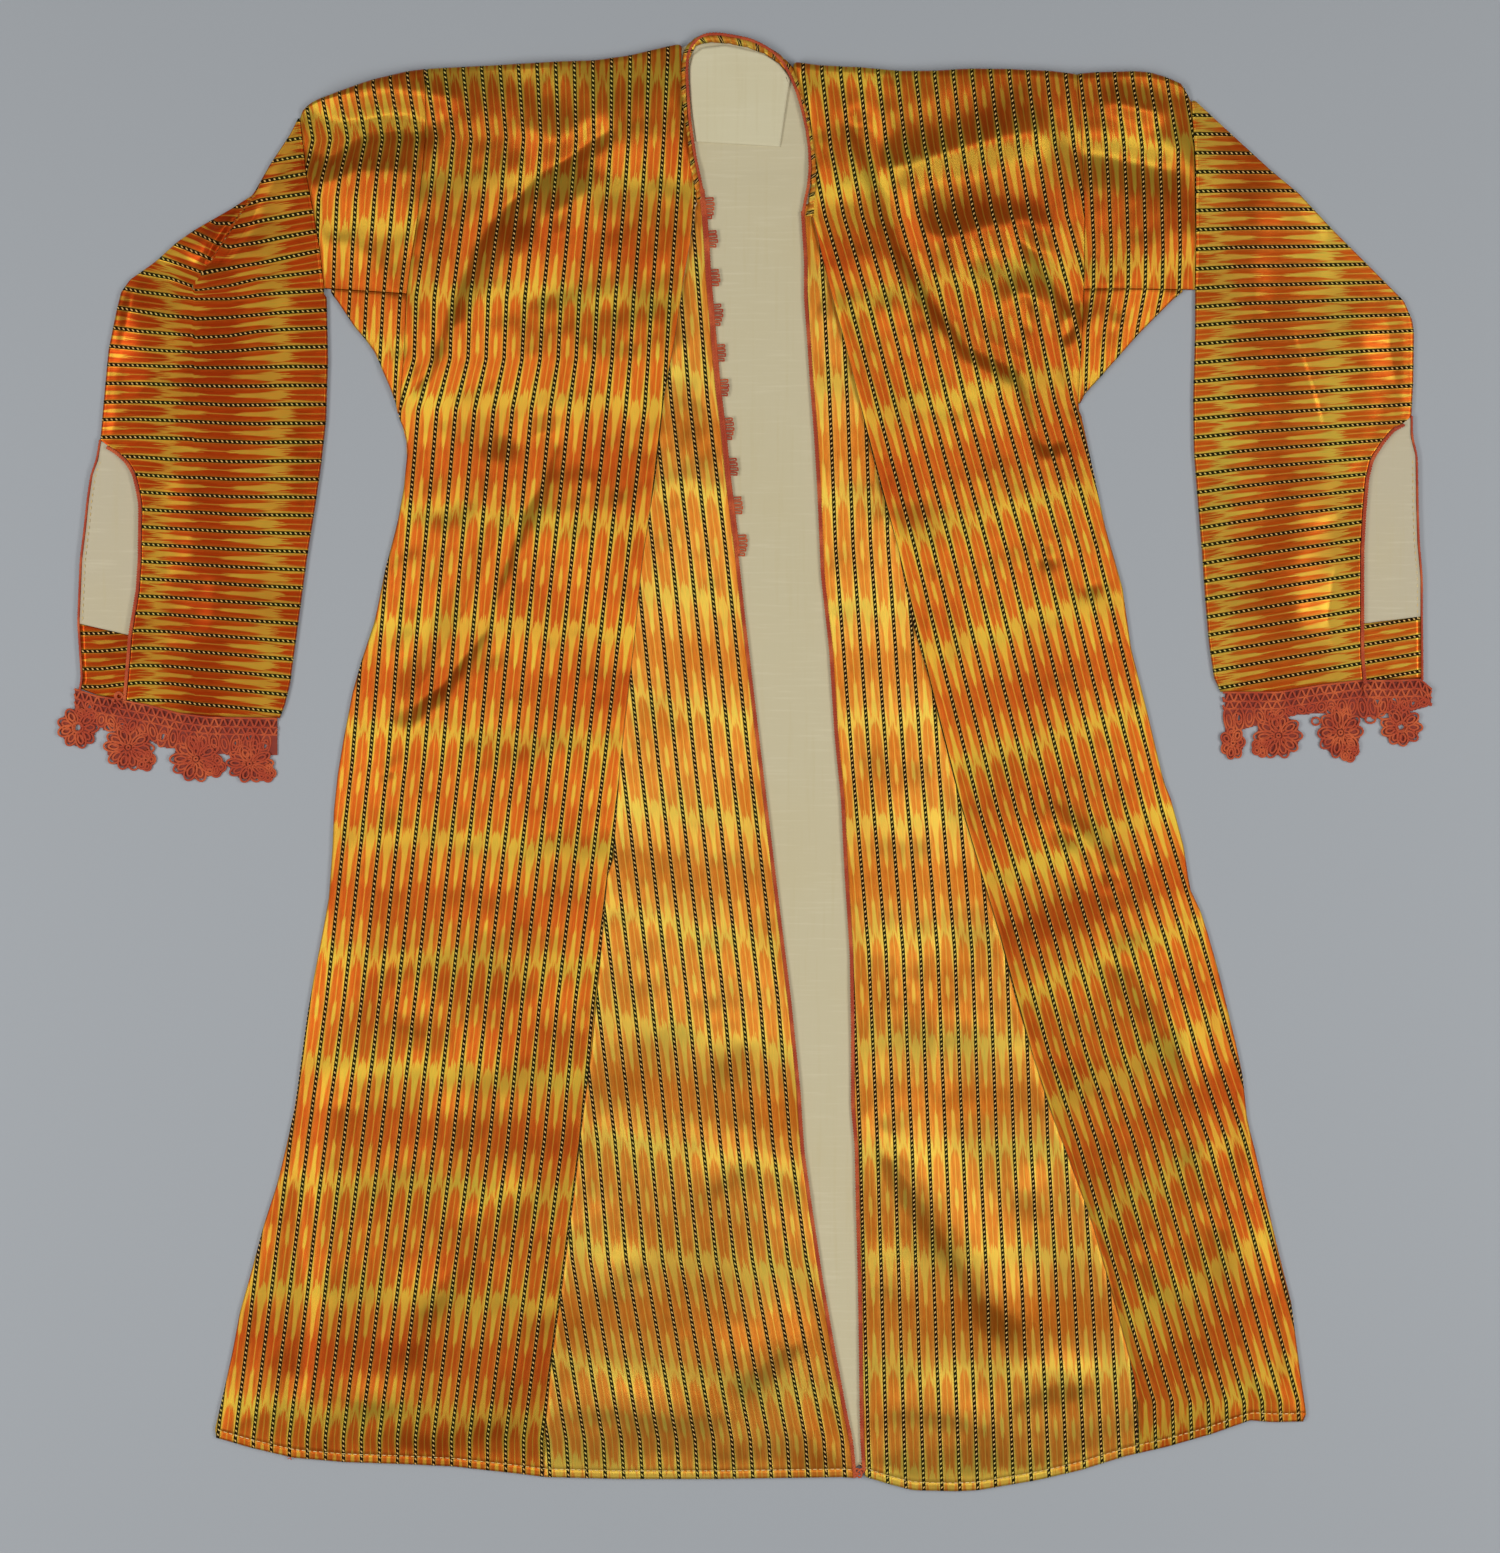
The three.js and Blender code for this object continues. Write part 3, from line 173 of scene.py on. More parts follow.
CUT = {
    "right": {
        "shoulder": [(-53, 574), (-62, 572), (-92, 565), (-120, 561), (-150, 560), (-211, 556.5),
            (-256, 554), (-270, 552), (-298, 545), (-326, 536), (-340, 531), (-348, 527), (-354, 521),
            (-356, 516)],
        "hem": [(-423, -540), (-412, -543), (-395, -548), (-361, -556), (-320, -559.5), (-275, -561),
            (-233, -563), (-179, -569), (-159, -571.5), (-100, -573), (-22, -573), (78, -571.5),
            (90, -572.5)],
        "side": [(276, -277), (264, -272), (250, -270), (220, -273), (192, -278), (154, -288),
            (114, -296), (81, -307), (56, -314), (20, -321), (-10, -326), (-39, -329), (-67, -330),
            (-108, -333), (-136, -338), (-172, -345), (-201, -350), (-238, -355), (-275, -360),
            (-307, -367), (-336, -374), (-370, -385), (-411, -396), (-439, -404), (-471, -410),
            (-503, -417), (-533, -424), (-540, -423)],
        "shoulder_seam": [(554, -254.5), (495, -255.5), (436, -261), (405, -266), (374, -270),
            (325, -272.5), (276, -277)],
        "gore_seam": [(436, -40), (386, -49), (338, -56), (290, -65), (232, -71), (161, -82), (91, -89),
            (32, -96), (-4, -100), (-76, -105), (-91, -110), (-152, -115), (-226, -122), (-287, -130),
            (-348, -137), (-417, -146), (-481, -155), (-525, -159), (-572, -161)],
        "neck_seam": [(446, -38.5), (460, -40.8), (470, -43.3), (482, -45.8), (498, -48), (514, -50.3),
            (530, -52.5), (542, -53.7), (556, -53.5), (576, -53)],
        "front_edge": [(459, -33.5), (437, -31), (418, -29.5), (390, -28), (362, -25.5), (330, -23),
            (298, -20), (266, -16), (226, -12), (194, -8), (161, -4), (114, 1), (67, 6.5), (20, 12),
            (-113, 28), (-189, 37.5), (-263, 45), (-310, 48), (-357, 54.5), (-414, 63), (-471, 73),
            (-521, 82.5), (-542, 87), (-571, 90)],
        "centre_back": [(577, -0.2), (-575, 12)],
        "armhole": [(516, -356), (470, -350.5), (440, -344.5), (409, -339.5), (379, -336.5)],
        "underarm": [(-336, 379), (-270, 374)],
        "gusset_edge": [(374, -331), (372, -328), (360, -320), (348, -312), (336, -301.5), (324, -293.5),
            (316, -291), (300, -284), (290, -280), (278, -277.5)],
        "sleeve_outer": [(518, -356), (502, -364), (478, -380), (454, -393.5), (442, -412), (426, -440),
            (416, -454.5), (400, -472), (386, -492), (376, -499), (362, -502.5), (330, -509),
            (282, -513.5), (258, -515.5)],
        "vent_edge": [(258, -515.5), (253, -509), (249, -502), (242, -494), (232, -487.5), (218, -484),
            (206, -482), (162, -482.5), (138, -484), (102, -490), (66, -493), (50, -494.5)],
        "sleeve_back": [(258, -515.5), (242, -518), (230, -522.5), (210, -525.5), (186, -528),
            (162, -531), (112, -533), (66, -530), (58, -532)],
        "sleeve_inner": [(374, -334.5), (322, -333.5), (274, -335), (238, -339), (210, -343),
            (162, -350.5), (110, -357.5), (62, -364), (46, -368), (36, -372)],
        "cuff": [(-533, 59.5), (-520, 54), (-496, 50), (-476, 46), (-452, 39.5), (-428, 36.5),
            (-370, 35.5)],
        "facing_top": [(-533, 111), (-516, 107), (-490, 101), (-440, 96)],
    },
    "left": {
        "shoulder": [(40, 560), (44, 559), (60, 557), (92, 555.5), (124, 552.5), (152, 552.5),
            (180, 554), (212, 554), (244, 552.5), (264, 550), (280, 551.5), (312, 552.5), (324, 551.5),
            (336, 548), (348, 543), (352, 538), (356, 530)],
        "hem": [(446, -527), (421, -527.5), (404, -526), (373, -537), (338, -547), (303, -555),
            (268, -566), (233, -574), (186, -582), (170, -582.8), (134, -582), (115, -577),
            (97, -571.5), (90, -566)],
        "side": [(284, 266), (278, 269), (236, 278), (189, 288), (140, 302), (91, 309), (44, 321),
            (-15, 335), (-30, 341), (-67, 351), (-101, 356), (-120, 365), (-136, 370), (-164, 378),
            (-226, 393), (-250, 398), (-287, 402), (-310, 408), (-345, 416), (-392, 427), (-432, 437),
            (-486, 444), (-521, 449), (-527, 446.5)],
        "shoulder_seam": [(550, 265), (493, 269), (436, 271), (407, 271), (378, 270.5), (331, 268.5),
            (284, 266)],
        "gore_seam": [(436, 54), (378, 68), (334, 80), (294, 90), (232, 105), (172, 122), (114, 133),
            (67, 147), (8, 161.5), (-38, 173.5), (-108, 194.5), (-140, 204), (-182, 214.5), (-231, 229),
            (-275, 243), (-316, 258.5), (-368, 277.5), (-416, 291), (-463, 304), (-493, 311),
            (-521, 313.5), (-553, 313)],
        "neck_seam": [(440, 54), (452, 56.3), (466, 58.7), (480, 58.7), (492, 57), (506, 54.7),
            (518, 52.3), (529, 49.1), (540, 46), (550, 43), (557, 40.5), (562, 40)],
        "front_edge": [(440, 44), (402, 46.5), (370, 46.5), (338, 49), (306, 51), (290, 52.3),
            (260, 54.6), (220, 57), (149, 60), (91, 66.5), (20, 71), (-30, 76), (-91, 79), (-152, 83),
            (-214, 84), (-275, 84), (-307, 87), (-357, 88), (-414, 89.5), (-480, 90.5), (-521, 91),
            (-542, 91.5), (-566, 93)],
        "centre_back": [(577, 0.2), (-575, 12.4)],
        "armhole": [(530, 357), (470, 360), (378, 360)],
        "underarm": [(270, 378), (360, 378)],
        "gusset_edge": [(376, 350), (374, 346), (360, 332), (344, 316), (326, 300), (308, 284),
            (292, 269.5), (286, 267.5)],
        "sleeve_outer": [(532, 357), (502, 389.5), (474, 420), (455, 443), (425, 471), (397, 499),
            (369, 527), (354, 533.5), (344, 535), (305, 534.5), (277, 533)],
        "vent_edge": [(277, 533), (271, 526), (267, 517.5), (257, 509), (243, 500), (227, 496),
            (198, 493.5), (168, 492), (86, 492), (70, 493.5), (63, 494)],
        "sleeve_back": [(277, 533), (261, 533), (245, 537), (208, 537.5), (176, 538.5), (147, 541),
            (116, 541), (66, 541.5)],
        "sleeve_inner": [(376, 360), (346, 360), (290, 358.5), (249, 359), (204, 362.5), (168, 365.5),
            (131, 368), (96, 371), (68, 375), (55, 381)],
        "cuff": [(381, 56.5), (426, 56.5), (462, 62.5), (491, 66), (521, 66), (541, 67)],
        "facing_top": [(450, 106), (496, 111), (541, 116.5)],
    },
}

# A fold is a line through its points, its height (a trough's is below zero), how far it spreads on the side
# to the left of the line and how far to the right of it, as you walk from its first point
FOLDS = {
    "right": [
        ([(-100, 510), (-148, 478), (-188, 446), (-212, 414), (-232, 370), (-256, 310), (-272, 290)],
            -3.2, 6, 11),
        ([(-116, 474), (-140, 446), (-164, 418)], 2.5, 9, 14),
        ([(-122, 466), (-180, 412), (-240, 322)], 2.6, 20, 20),
        ([(-352, 446), (-330, 462), (-310, 472), (-284, 472), (-250, 464)], 5, 12, 26),
        ([(-346, 466), (-326, 492), (-306, 506), (-276, 510), (-236, 502)], -7.5, 20, 11),
        ([(-328, 524), (-290, 533), (-220, 530)], 2.6, 12, 12),
        ([(-190, 520), (-160, 500), (-120, 486)], 2.4, 20, 13),
        ([(-150, 280), (-168, 220), (-192, 172), (-215, 107), (-243, 74), (-278, 25)], -5, 8, 15),
        ([(-178, 196), (-206, 137), (-225, 91), (-255, 41)], -3.5, 7, 14),
        ([(-184, 262), (-226, 160), (-280, 62)], 2.5, 16, 16),
        ([(-292, -180), (-276, -200), (-250, -214), (-226, -212)], 3.6, 22, 12),
        ([(-262, -282), (-236, -286), (-206, -300)], 3.2, 22, 13),
        ([(-214, -346), (-190, -352), (-160, -350)], 2.8, 20, 12),
        ([(-300, -268), (-326, -276), (-352, -272)], 2.6, 12, 20),
        ([(-357, -332), (-353, -420), (-356, -513)], -4, 9, 14),
        ([(-330, -250), (-333, -340), (-326, -430)], 2.5, 16, 16),
        ([(-222, -386), (-262, -440), (-276, -496)], 4, 13, 24),
        ([(60, -440), (30, -462), (4, -486), (-12, -512)], 6, 12, 28),
        ([(26, -210), (-10, -226), (-44, -254)], 3.4, 11, 22),
        ([(24, -312), (-10, -322), (-50, -352)], 3.6, 12, 22),
        ([(-60, -396), (-96, -404), (-128, -430)], 2.6, 11, 20),
        ([(-160, -510), (-100, -512), (-50, -520), (4, -514)], 3, 20, 12),
        ([(-356, -490), (-300, -506), (-240, -512)], 2.4, 20, 11),
        ([(-292, 2), (-276, -14)], -3, 8, 8),
        ([(-392, 454), (-403, 439), (-409, 428), (-416, 417), (-424, 403), (-434, 391)], -7, 9, 3),
        ([(-404, 452), (-416, 430), (-428, 412), (-444, 396)], 5, 8, 10),
        ([(-482, 392), (-484, 350), (-478, 306)], 2.2, 16, 20),
        ([(-450, 378), (-444, 340), (-450, 296)], 1.9, 14, 16),
        ([(-372, 400), (-362, 330), (-366, 250), (-360, 170)], 2.8, 16, 20),
        ([(-414, 170), (-418, 130), (-424, 90)], 2.6, 12, 16),
        ([(-446, 240), (-438, 180), (-442, 110)], 1.2, 22, 26),
        ([(-351, -201), (-334, -201)], -1.2, 1.2, 1.2),
    ],
    "left": [
        ([(82, 524), (102, 484), (126, 412), (154, 367), (181, 333), (221, 313), (240, 274), (244, 242)],
            -6.5, 14, 7),
        ([(110, 500), (138, 440), (168, 400), (222, 340)], 3, 17, 17),
        ([(206, 434), (236, 406), (252, 378), (264, 362), (272, 350)], -5.5, 12, 7),
        ([(138, 404), (164, 420), (198, 428), (226, 424), (250, 408)], 5, 14, 14),
        ([(98, 462), (140, 479), (180, 491), (210, 500), (252, 506)], 6, 15, 15),
        ([(280, 530), (306, 524), (340, 516)], 4, 9, 9),
        ([(250, 486), (284, 484), (320, 477), (358, 468)], -4.2, 12, 14),
        ([(220, 378), (232, 346), (238, 314), (236, 274), (244, 242)], -4, 5, 9),
        ([(236, 346), (246, 306), (264, 262)], -3, 5, 8),
        ([(252, 330), (262, 350), (270, 364)], -3, 4, 5),
        ([(206, 388), (222, 372), (244, 352)], 4, 12, 15),
        ([(276, 356), (296, 348), (316, 352)], 2.4, 9, 12),
        ([(227, 159), (255, 168)], -3, 8, 8),
        ([(265, 144), (290, 140)], -3, 8, 8),
        ([(236, -34), (270, -60), (304, -102)], -4.5, 9, 13),
        ([(274, -136), (310, -168), (336, -206), (356, -240), (370, -254)], 5, 26, 13),
        ([(330, -292), (362, -306), (396, -310)], 3.0, 22, 12),
        ([(356, -356), (384, -372), (420, -380)], 3.0, 22, 12),
        ([(300, -388), (326, -404), (350, -430)], 2.6, 20, 11),
        ([(98, -270), (122, -314), (148, -354), (182, -404), (226, -470)], 9, 34, 14),
        ([(206, -326), (228, -342), (250, -362)], 3.2, 22, 14),
        ([(88, -392), (110, -408), (136, -440)], 3.4, 22, 13),
        ([(94, -516), (140, -512), (190, -524), (232, -500), (252, -488), (272, -494), (290, -516)],
            3.2, 22, 12),
        ([(110, -196), (160, -214), (214, -206)], 2.0, 24, 12),
        ([(92, -50), (130, -62), (170, -50)], 2.0, 22, 12),
        ([(114, 196), (118, 100), (124, 0), (128, -190)], -2.6, 5, 5),
        ([(150, 160), (156, 0), (159, -190), (160, -266)], -2.4, 5, 5),
        ([(439, 352), (452, 316), (465, 272), (474, 258)], -1.3, 2.6, 4),
        ([(452, 352), (464, 322)], -1.1, 2.6, 4),
        ([(489, 176), (478, 147), (470, 106)], -0.5, 6, 8),
        ([(490, 130), (482, 112), (474, 84)], -0.5, 6, 7),
        ([(488, 200), (470, 190), (452, 186)], -0.8, 4, 5),
        ([(404, 470), (398, 380), (404, 290), (398, 200), (402, 110)], 3.4, 20, 24),
        ([(470, 380), (490, 320), (496, 250)], 2.2, 18, 22),
        ([(440, 230), (434, 160), (440, 90)], 1.8, 22, 22),
    ],
}


def table(side, name):
    """An edge's table as two arrays, sorted by its first column."""
    rows = np.array(sorted(CUT[side][name]), float)
    return rows[:, 0], rows[:, 1]


def on(side, name, at):
    """Straight-line reading of an edge at the places at."""
    return np.interp(at, *table(side, name))


def sign(side):
    """Which way is out from the middle of the coat: -1 on the wearer's right, at -X, and 1 on the left."""
    return -1 if side == "right" else 1


print("edges in the cut:", sum(len(edges) for edges in CUT.values()))
print("folds and ridges:", {side: len(lines) for side, lines in FOLDS.items()})

# %% [markdown]
# ## How the upper layer lies
#
# Laid-out silk is held down where it is sewn to the layer below, and puffs up a few millimetres between.
# Blender's cloth simulation could drop the coat on the floor, but its folds would fall where they like. Here
# they lie where the real ones do: each is a trough or ridge along a line, steeper on one side than on the
# other, as a crease in satin is. Broad low waves come last, because satin never lies dead flat and its sheen
# shows a slope of a few degrees.


# %% Heights
def near(x, y, line):
    """Distance from each point to a line through points, on which side of it the point is (+1 left), and how
    far the nearest place on the line is from the line's own nearer end."""
    start, end = np.array(line[:-1], float), np.array(line[1:], float)
    run = end - start
    to = np.stack([x, y], -1)[..., None, :] - start
    share = np.clip((to * run).sum(-1) / (run**2).sum(-1), 0, 1)
    off = to - share[..., None] * run
    gap = np.hypot(off[..., 0], off[..., 1])
    first = gap.argmin(-1)[..., None]
    turned = run[:, 0] * to[..., 1] - run[:, 1] * to[..., 0]
    far = np.concatenate([[0], np.cumsum(np.hypot(*run.T))])
    along = (far[:-1] + share * np.diff(far))
    gap, turned, along = (np.take_along_axis(a, first, -1)[..., 0] for a in (gap, turned, along))
    return gap, np.sign(turned), np.minimum(along, far[-1] - along)


def smooth(t):
    """An S-curve from 0 to 1: three times t squared less twice t cubed, held at both ends."""
    t = np.clip(t, 0, 1)
    return t * t * (3 - 2 * t)


def edge_points(side, name):
    """The points (x, y) of an edge, whichever way its table is read."""
    first, second = table(side, name)
    runs_across = name in ("shoulder", "hem", "underarm", "cuff", "facing_top")
    return list(zip(first, second)) if runs_across else list(zip(second, first))


def rolling(x, y, across, up, seed):
    """Soft random ground: seeded heights from -1 to 1 on a lattice of the given steps, joined by S-curves."""
    heights = np.random.default_rng(seed).uniform(-1, 1, (64, 64))
    i, j = x / across + 32, y / up + 32
    i0, j0 = np.floor(i).astype(int), np.floor(j).astype(int)
    a, b = smooth(i - i0), smooth(j - j0)
    corner = lambda di, dj: heights[(i0 + di) % 64, (j0 + dj) % 64]
    low = corner(0, 0) * (1 - a) + corner(1, 0) * a
    return low * (1 - b) + (corner(0, 1) * (1 - a) + corner(1, 1) * a) * b


def waves(x, y):
    """Broad rolls 1.6 mm high, middling ones and small crumples: a sum of random grounds, each on its own
    lattice and turned a little."""
    s, t = x * 0.94 + y * 0.34, y * 0.94 - x * 0.34
    return (1.6 * rolling(s, t, 84, 56, 1) + 0.85 * rolling(x * 0.9 - y * 0.43, y * 0.9 + x * 0.43, 44, 31, 2)
        + 0.36 * rolling(s, t, 23, 15, 3) + 0.11 * rolling(x, y, 10, 9, 4))


def upper_top(side, x, y):
    """Height of the upper layer's outer face: sewn edges come down to the layer below, the rest puffs up
    with its distance from every edge, and each fold adds a bell curve across its line; waves come last."""
    sewn = np.minimum(*(near(x, y, edge_points(side, name))[0] for name in ("side", "sleeve_outer")))
    free = sewn.copy()
    for name in ("front_edge", "hem", "gusset_edge", "sleeve_inner"):
        free = np.minimum(free, near(x, y, edge_points(side, name))[0])
    for name in ("vent_edge", "cuff"):  # the sleeve's end lies flatter
        free = np.minimum(free, 0.6 * near(x, y, edge_points(side, name))[0])
    height = PUFF * smooth(free / PUFF_REACH)
    inside = smooth(free / SEAM_ROLL)
    for line, high, left, right in FOLDS[side]:
        gap, way, from_end = near(x, y, line)
        fade = smooth(from_end / (12 + 1.1 * max(left, right)))  # both ends run out softly
        height = height + high * np.exp(-((gap / np.where(way > 0, left, right)) ** 2)) * fade * inside
    height = height + waves(x, y) * (0.15 + 0.85 * inside)
    return SIDE_MID + (FRONT_MID - SIDE_MID) * smooth(sewn / SEAM_ROLL) + SILK / 2 + np.maximum(0, height)


tops = {side: float(upper_top(side, np.array([sign(side) * 150.0]), np.array([0.0]))[0]) for side in CUT}
print("upper face in the middle of each body length:", {side: round(z, 1) for side, z in tops.items()}, "mm")

# %% [markdown]
# ## From a grid of points to cloth
#
# A panel could be a plane with many cuts, bent by sculpting. A grid of points that lie by share between two
# edges does the same by formula: a whole panel is one array, and its seams meet the next panel exactly.
# Solidify then gives it the thickness of cloth, inwards from the face that shows.


# %% Grids
def steps(length, near_start, near_end, pitch):
    """Shares from 0 to 1: the given distances from both ends, and even steps of about the pitch between."""
    first, last = list(near_start), [length - d for d in reversed(near_end)]
    count = max(2, int(round((last[0] - first[-1]) / pitch)) + 1)
    return np.array(first[:-1] + list(np.linspace(first[-1], last[0], count)) + last[1:]) / length


def between_edges(first, second, share, y):
    """x at each share of the way from the first side edge to the second, at the heights y."""
    return first(y) + share * (second(y) - first(y))


def fit(edge, inner, outer, share, start, passes=10):
    """y at each share where a line between two side edges meets an edge that runs across: each pass reads
    the edge at the x that the last y gives."""
    y = np.full_like(share, float(start))
    for _ in range(passes):
        y = edge(between_edges(inner, outer, share, y))
    return y


def make_piece(name, points, faces, finish, smooth_faces=True, thickness=0.0):
    """Puts points in mm and faces in a mesh, as one piece that rides on the coat, with Solidify for cloth."""
    mesh = bpy.data.meshes.new(name)
    mesh.from_pydata((points * MM).tolist(), [], faces)
    mesh.polygons.foreach_set("use_smooth", [smooth_faces] * len(faces))
    mesh.materials.append(finish)
    piece = bpy.data.objects.new(name, mesh)
    bpy.context.scene.collection.objects.link(piece)
    if thickness:
        shell = piece.modifiers.new("cloth thickness", "SOLIDIFY")
        shell.thickness, shell.offset = thickness * MM, -1
    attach(piece, "root")
    return piece


def cloth(name, grids, finish, thickness=0.8):
    """Joins grids of points (rows, columns, 3) in mm, each with its grain (rows, columns, 2), in one mesh.
    A grid whose last item is true looks down, any other looks up."""
    points, grains, faces, start = [], [], [], 0
    for P, G, down in grids:
        rows, cols = P.shape[:2]
        index = start + np.arange(rows * cols).reshape(rows, cols)
        quads = np.stack([index[:-1, :-1], index[:-1, 1:], index[1:, 1:], index[1:, :-1]], -1).reshape(-1, 4)
        ahead, aside = P[1, 0] - P[0, 0], P[0, -1] - P[0, 0]
        if (aside[0] * ahead[1] - aside[1] * ahead[0] > 0) == down:
            quads = quads[:, ::-1]
        points.append(P.reshape(-1, 3))
        grains.append(G.reshape(-1, 2))
        faces.append(quads)
        start += rows * cols
    points, grains, faces = np.concatenate(points), np.concatenate(grains), np.concatenate(faces)
    piece = make_piece(name, points, faces.tolist(), finish, thickness=thickness)
    piece.data.uv_layers.new(name="grain").data.foreach_set("uv", grains[faces.ravel()].ravel())
    area = sum(face.area for face in piece.data.polygons)
    print(name, len(faces), "faces,", round(area, 4), "square metres")
    return piece


print("rows of a hem, mm from its edge:", np.round(steps(40, [0, 0.5, 1.2, 2.4, 4], [0], 9) * 40, 1))

# %% [markdown]
# ## The grain
#
# The silk is striped along its length by thick cords about 14.5 mm apart. A pattern on the coat's own x and y
# would run straight through every seam, but each panel was cut from the cloth at its own slant. So each has
# its own grain, kept as a UV map: u counts the cords and v counts the ikat's repeats of 180 mm, and the
# pattern bends with the cloth.


# %% Grain tables
# At each height y: x of one cord and of another cord, for each panel; the numbers of the two cords
CORDS = {
    "right_body": ((1, 14), [(562, -61.6, -256), (498, -64.8, -246.4), (450, -68, -251.2),
        (370, -74.4, -262.4), (322, -77.2, -264), (282, -80, -276), (2, -112, -299.2),
        (-190, -135.2, -320), (-302, -145.6, -334.4), (-540, -176.8, -364)]),
    "left_body": ((1, 10), [(550, 46.4, 180.8), (490, 53.6, 188), (436, 64, 197.6), (378, 80.8, 214),
        (290, 104, 232.8), (172, 135.2, 266.4), (67, 160.8, 292), (-38, 187.2, 318.4),
        (-140, 217.6, 349.6), (-231, 242.4, 375.2), (-302, 265.6, 399.2), (-510, 326.4, 456),
        (-583, 330, 461)]),
    "right_gore": ((1, 12), [(436, -42, -201.5), (290, -30, -189.5), (172, -15.6, -175), (2, 3.2, -156.3),
        (-190, 26.4, -132), (-302, 36, -117.6), (-396, 48.8, -109), (-540, 77.6, -84), (-572, 80, -82)]),
    "left_gore": ((1, 12), [(440, 45, 200), (290, 53.6, 208), (172, 58.4, 212), (0, 72, 223), (-150, 85, 236),
        (-302, 92, 241.6), (-540, 98.4, 255.6), (-583, 100, 258)]),
    "right_shoulder": ((1, 6), [(550, -269.6, -341), (498, -261.6, -331.2), (450, -265.6, -340),
        (370, -275.2, -343), (290, -280, -348)]),
    "left_shoulder": ((1, 6), [(550, 267.2, 336), (490, 274.4, 345.6), (410, 278.4, 347.2), (378, 278, 347),
        (346, 273.6, 340), (290, 272, 330)]),
}
# Heights of the wide yellow bands, repeat by repeat, at the first cord and at the second
BANDS = {
    "right_body": [(458, 462), (281, 289), (100, 110), (-71, -61), (-254, -245), (-434, -425)],
    "left_body": [(454, 480), (276, 302), (90, 124), (-94, -50), (-274, -214), (-446, -382)],
    "right_gore": [(486, 486), (306, 320), (126, 150), (-54, -24), (-234, -200), (-414, -392)],
    "left_gore": [(482, 482), (302, 302), (122, 122), (-52, -52), (-226, -226), (-394, -394)],
    "right_shoulder": [(424, 424), (244, 244)],
    "left_shoulder": [(488, 488), (308, 308)],
}
REPEAT = 180.0
CORD_PITCH = 14.6


def grain(panel, x, y):
    """u by straight lines between the two cords at each height, and v by straight lines between the bands,
    read at the first cord and at the second and mixed by u. Beyond the tables both go on evenly."""
    (a, b), rows = CORDS[panel]
    rows = np.array(sorted(rows))
    at_a, at_b = np.interp(y, rows[:, 0], rows[:, 1]), np.interp(y, rows[:, 0], rows[:, 2])
    share = (x - at_a) / (at_b - at_a)
    v = []
    for column in (0, 1):
        bands = np.array([row[column] for row in BANDS[panel]])
        top, foot = bands[0] + REPEAT * 3, bands[-1] - REPEAT * 3
        heights = np.concatenate([[foot], bands[::-1], [top]])
        counts = np.concatenate([[len(bands) + 2], np.arange(len(bands))[::-1], [-3]])
        v.append(np.interp(y, heights, counts))
    return np.stack([a + (b - a) * share, v[0] + (v[1] - v[0]) * share], -1)


at_hem = grain("right_body", np.array([-170.0, -400.0]), -540.0)
print("cords along the right hem: from", np.round(at_hem[0, 0], 1), "to", np.round(at_hem[1, 0], 1))

# %% [markdown]
# ## Striped silk ikat
#
# The threads were tied and dyed before weaving, so a colour starts and stops along the threads, feathered
# thread by thread. A painted picture of the cloth would blur close up and show its repeat. Nodes on the grain
# draw the dye as it was made: between two cords the yellow grows from lines beside the cords to a full band,
# shrinks to a flame in the middle, comes back as a dash, opens like an arrow and starts again.

# %% Ikat shapes
# Place in the repeat, and half the width of the yellow there as a share of the stripe: in the middle of a
# stripe, and beside its cords
MIDDLE = [(0, 0.5), (0.02, 0.44), (0.045, 0.34), (0.08, 0.25), (0.11, 0.2), (0.17, 0.17), (0.2, 0),
    (0.325, 0), (0.345, 0.15), (0.42, 0.19), (0.455, 0.28), (0.48, 0.32), (0.505, 0), (0.685, 0), (0.7, 0.16),
    (0.77, 0.18), (0.795, 0), (0.94, 0), (0.96, 0.26), (0.98, 0.44), (1, 0.5)]
BESIDE = [(0, 0.42), (0.02, 0.34), (0.045, 0.26), (0.08, 0.22), (0.2, 0.18), (0.44, 0.2), (0.475, 0.46),
    (0.51, 0.5), (0.57, 0.4), (0.64, 0.32), (0.7, 0.24), (0.79, 0.22), (0.84, 0.3), (0.89, 0.35),
    (0.93, 0.42), (0.96, 0.48), (0.98, 0.5), (1, 0.42)]
THREADS = 26  # dyed bunches in a stripe; the real warp is about four times finer and wouldn't show


def dye_place(tree, u, v, place, ragged):
    """Place in the repeat, 0 to 1: v, moved a little for each thread, bunch of threads, stripe and part of
    the cloth, with the whole repeats taken off."""
    number = add(tree, "Math.FLOOR", add(tree, "Math.MULTIPLY", u, THREADS))
    thread = add(tree, "TexWhiteNoise", inputs={"W": number}, noise_dimensions="1D")
    fifth = add(tree, "Math.MULTIPLY", u, 5)
    bunch = add(tree, "TexNoise", inputs={"W": fifth}, noise_dimensions="1D")
    stripe = add(tree, "TexWhiteNoise", inputs={"W": add(tree, "Math.FLOOR", u)}, noise_dimensions="1D")
    drift = add(tree, "TexNoise", inputs={"Vector": place, "Scale": 9, "Detail": 2})
    along = add(tree, "Math.MULTIPLY_ADD", thread, ragged, add(tree, "Math.MULTIPLY_ADD", stripe, 0.03, v))
    along = add(tree, "Math.MULTIPLY_ADD", drift, 0.10, along)
    along = add(tree, "Math.MULTIPLY_ADD", bunch, ragged, along)
    return add(tree, "Math.FRACT", add(tree, "Math.SUBTRACT", along, 0.065 + ragged))


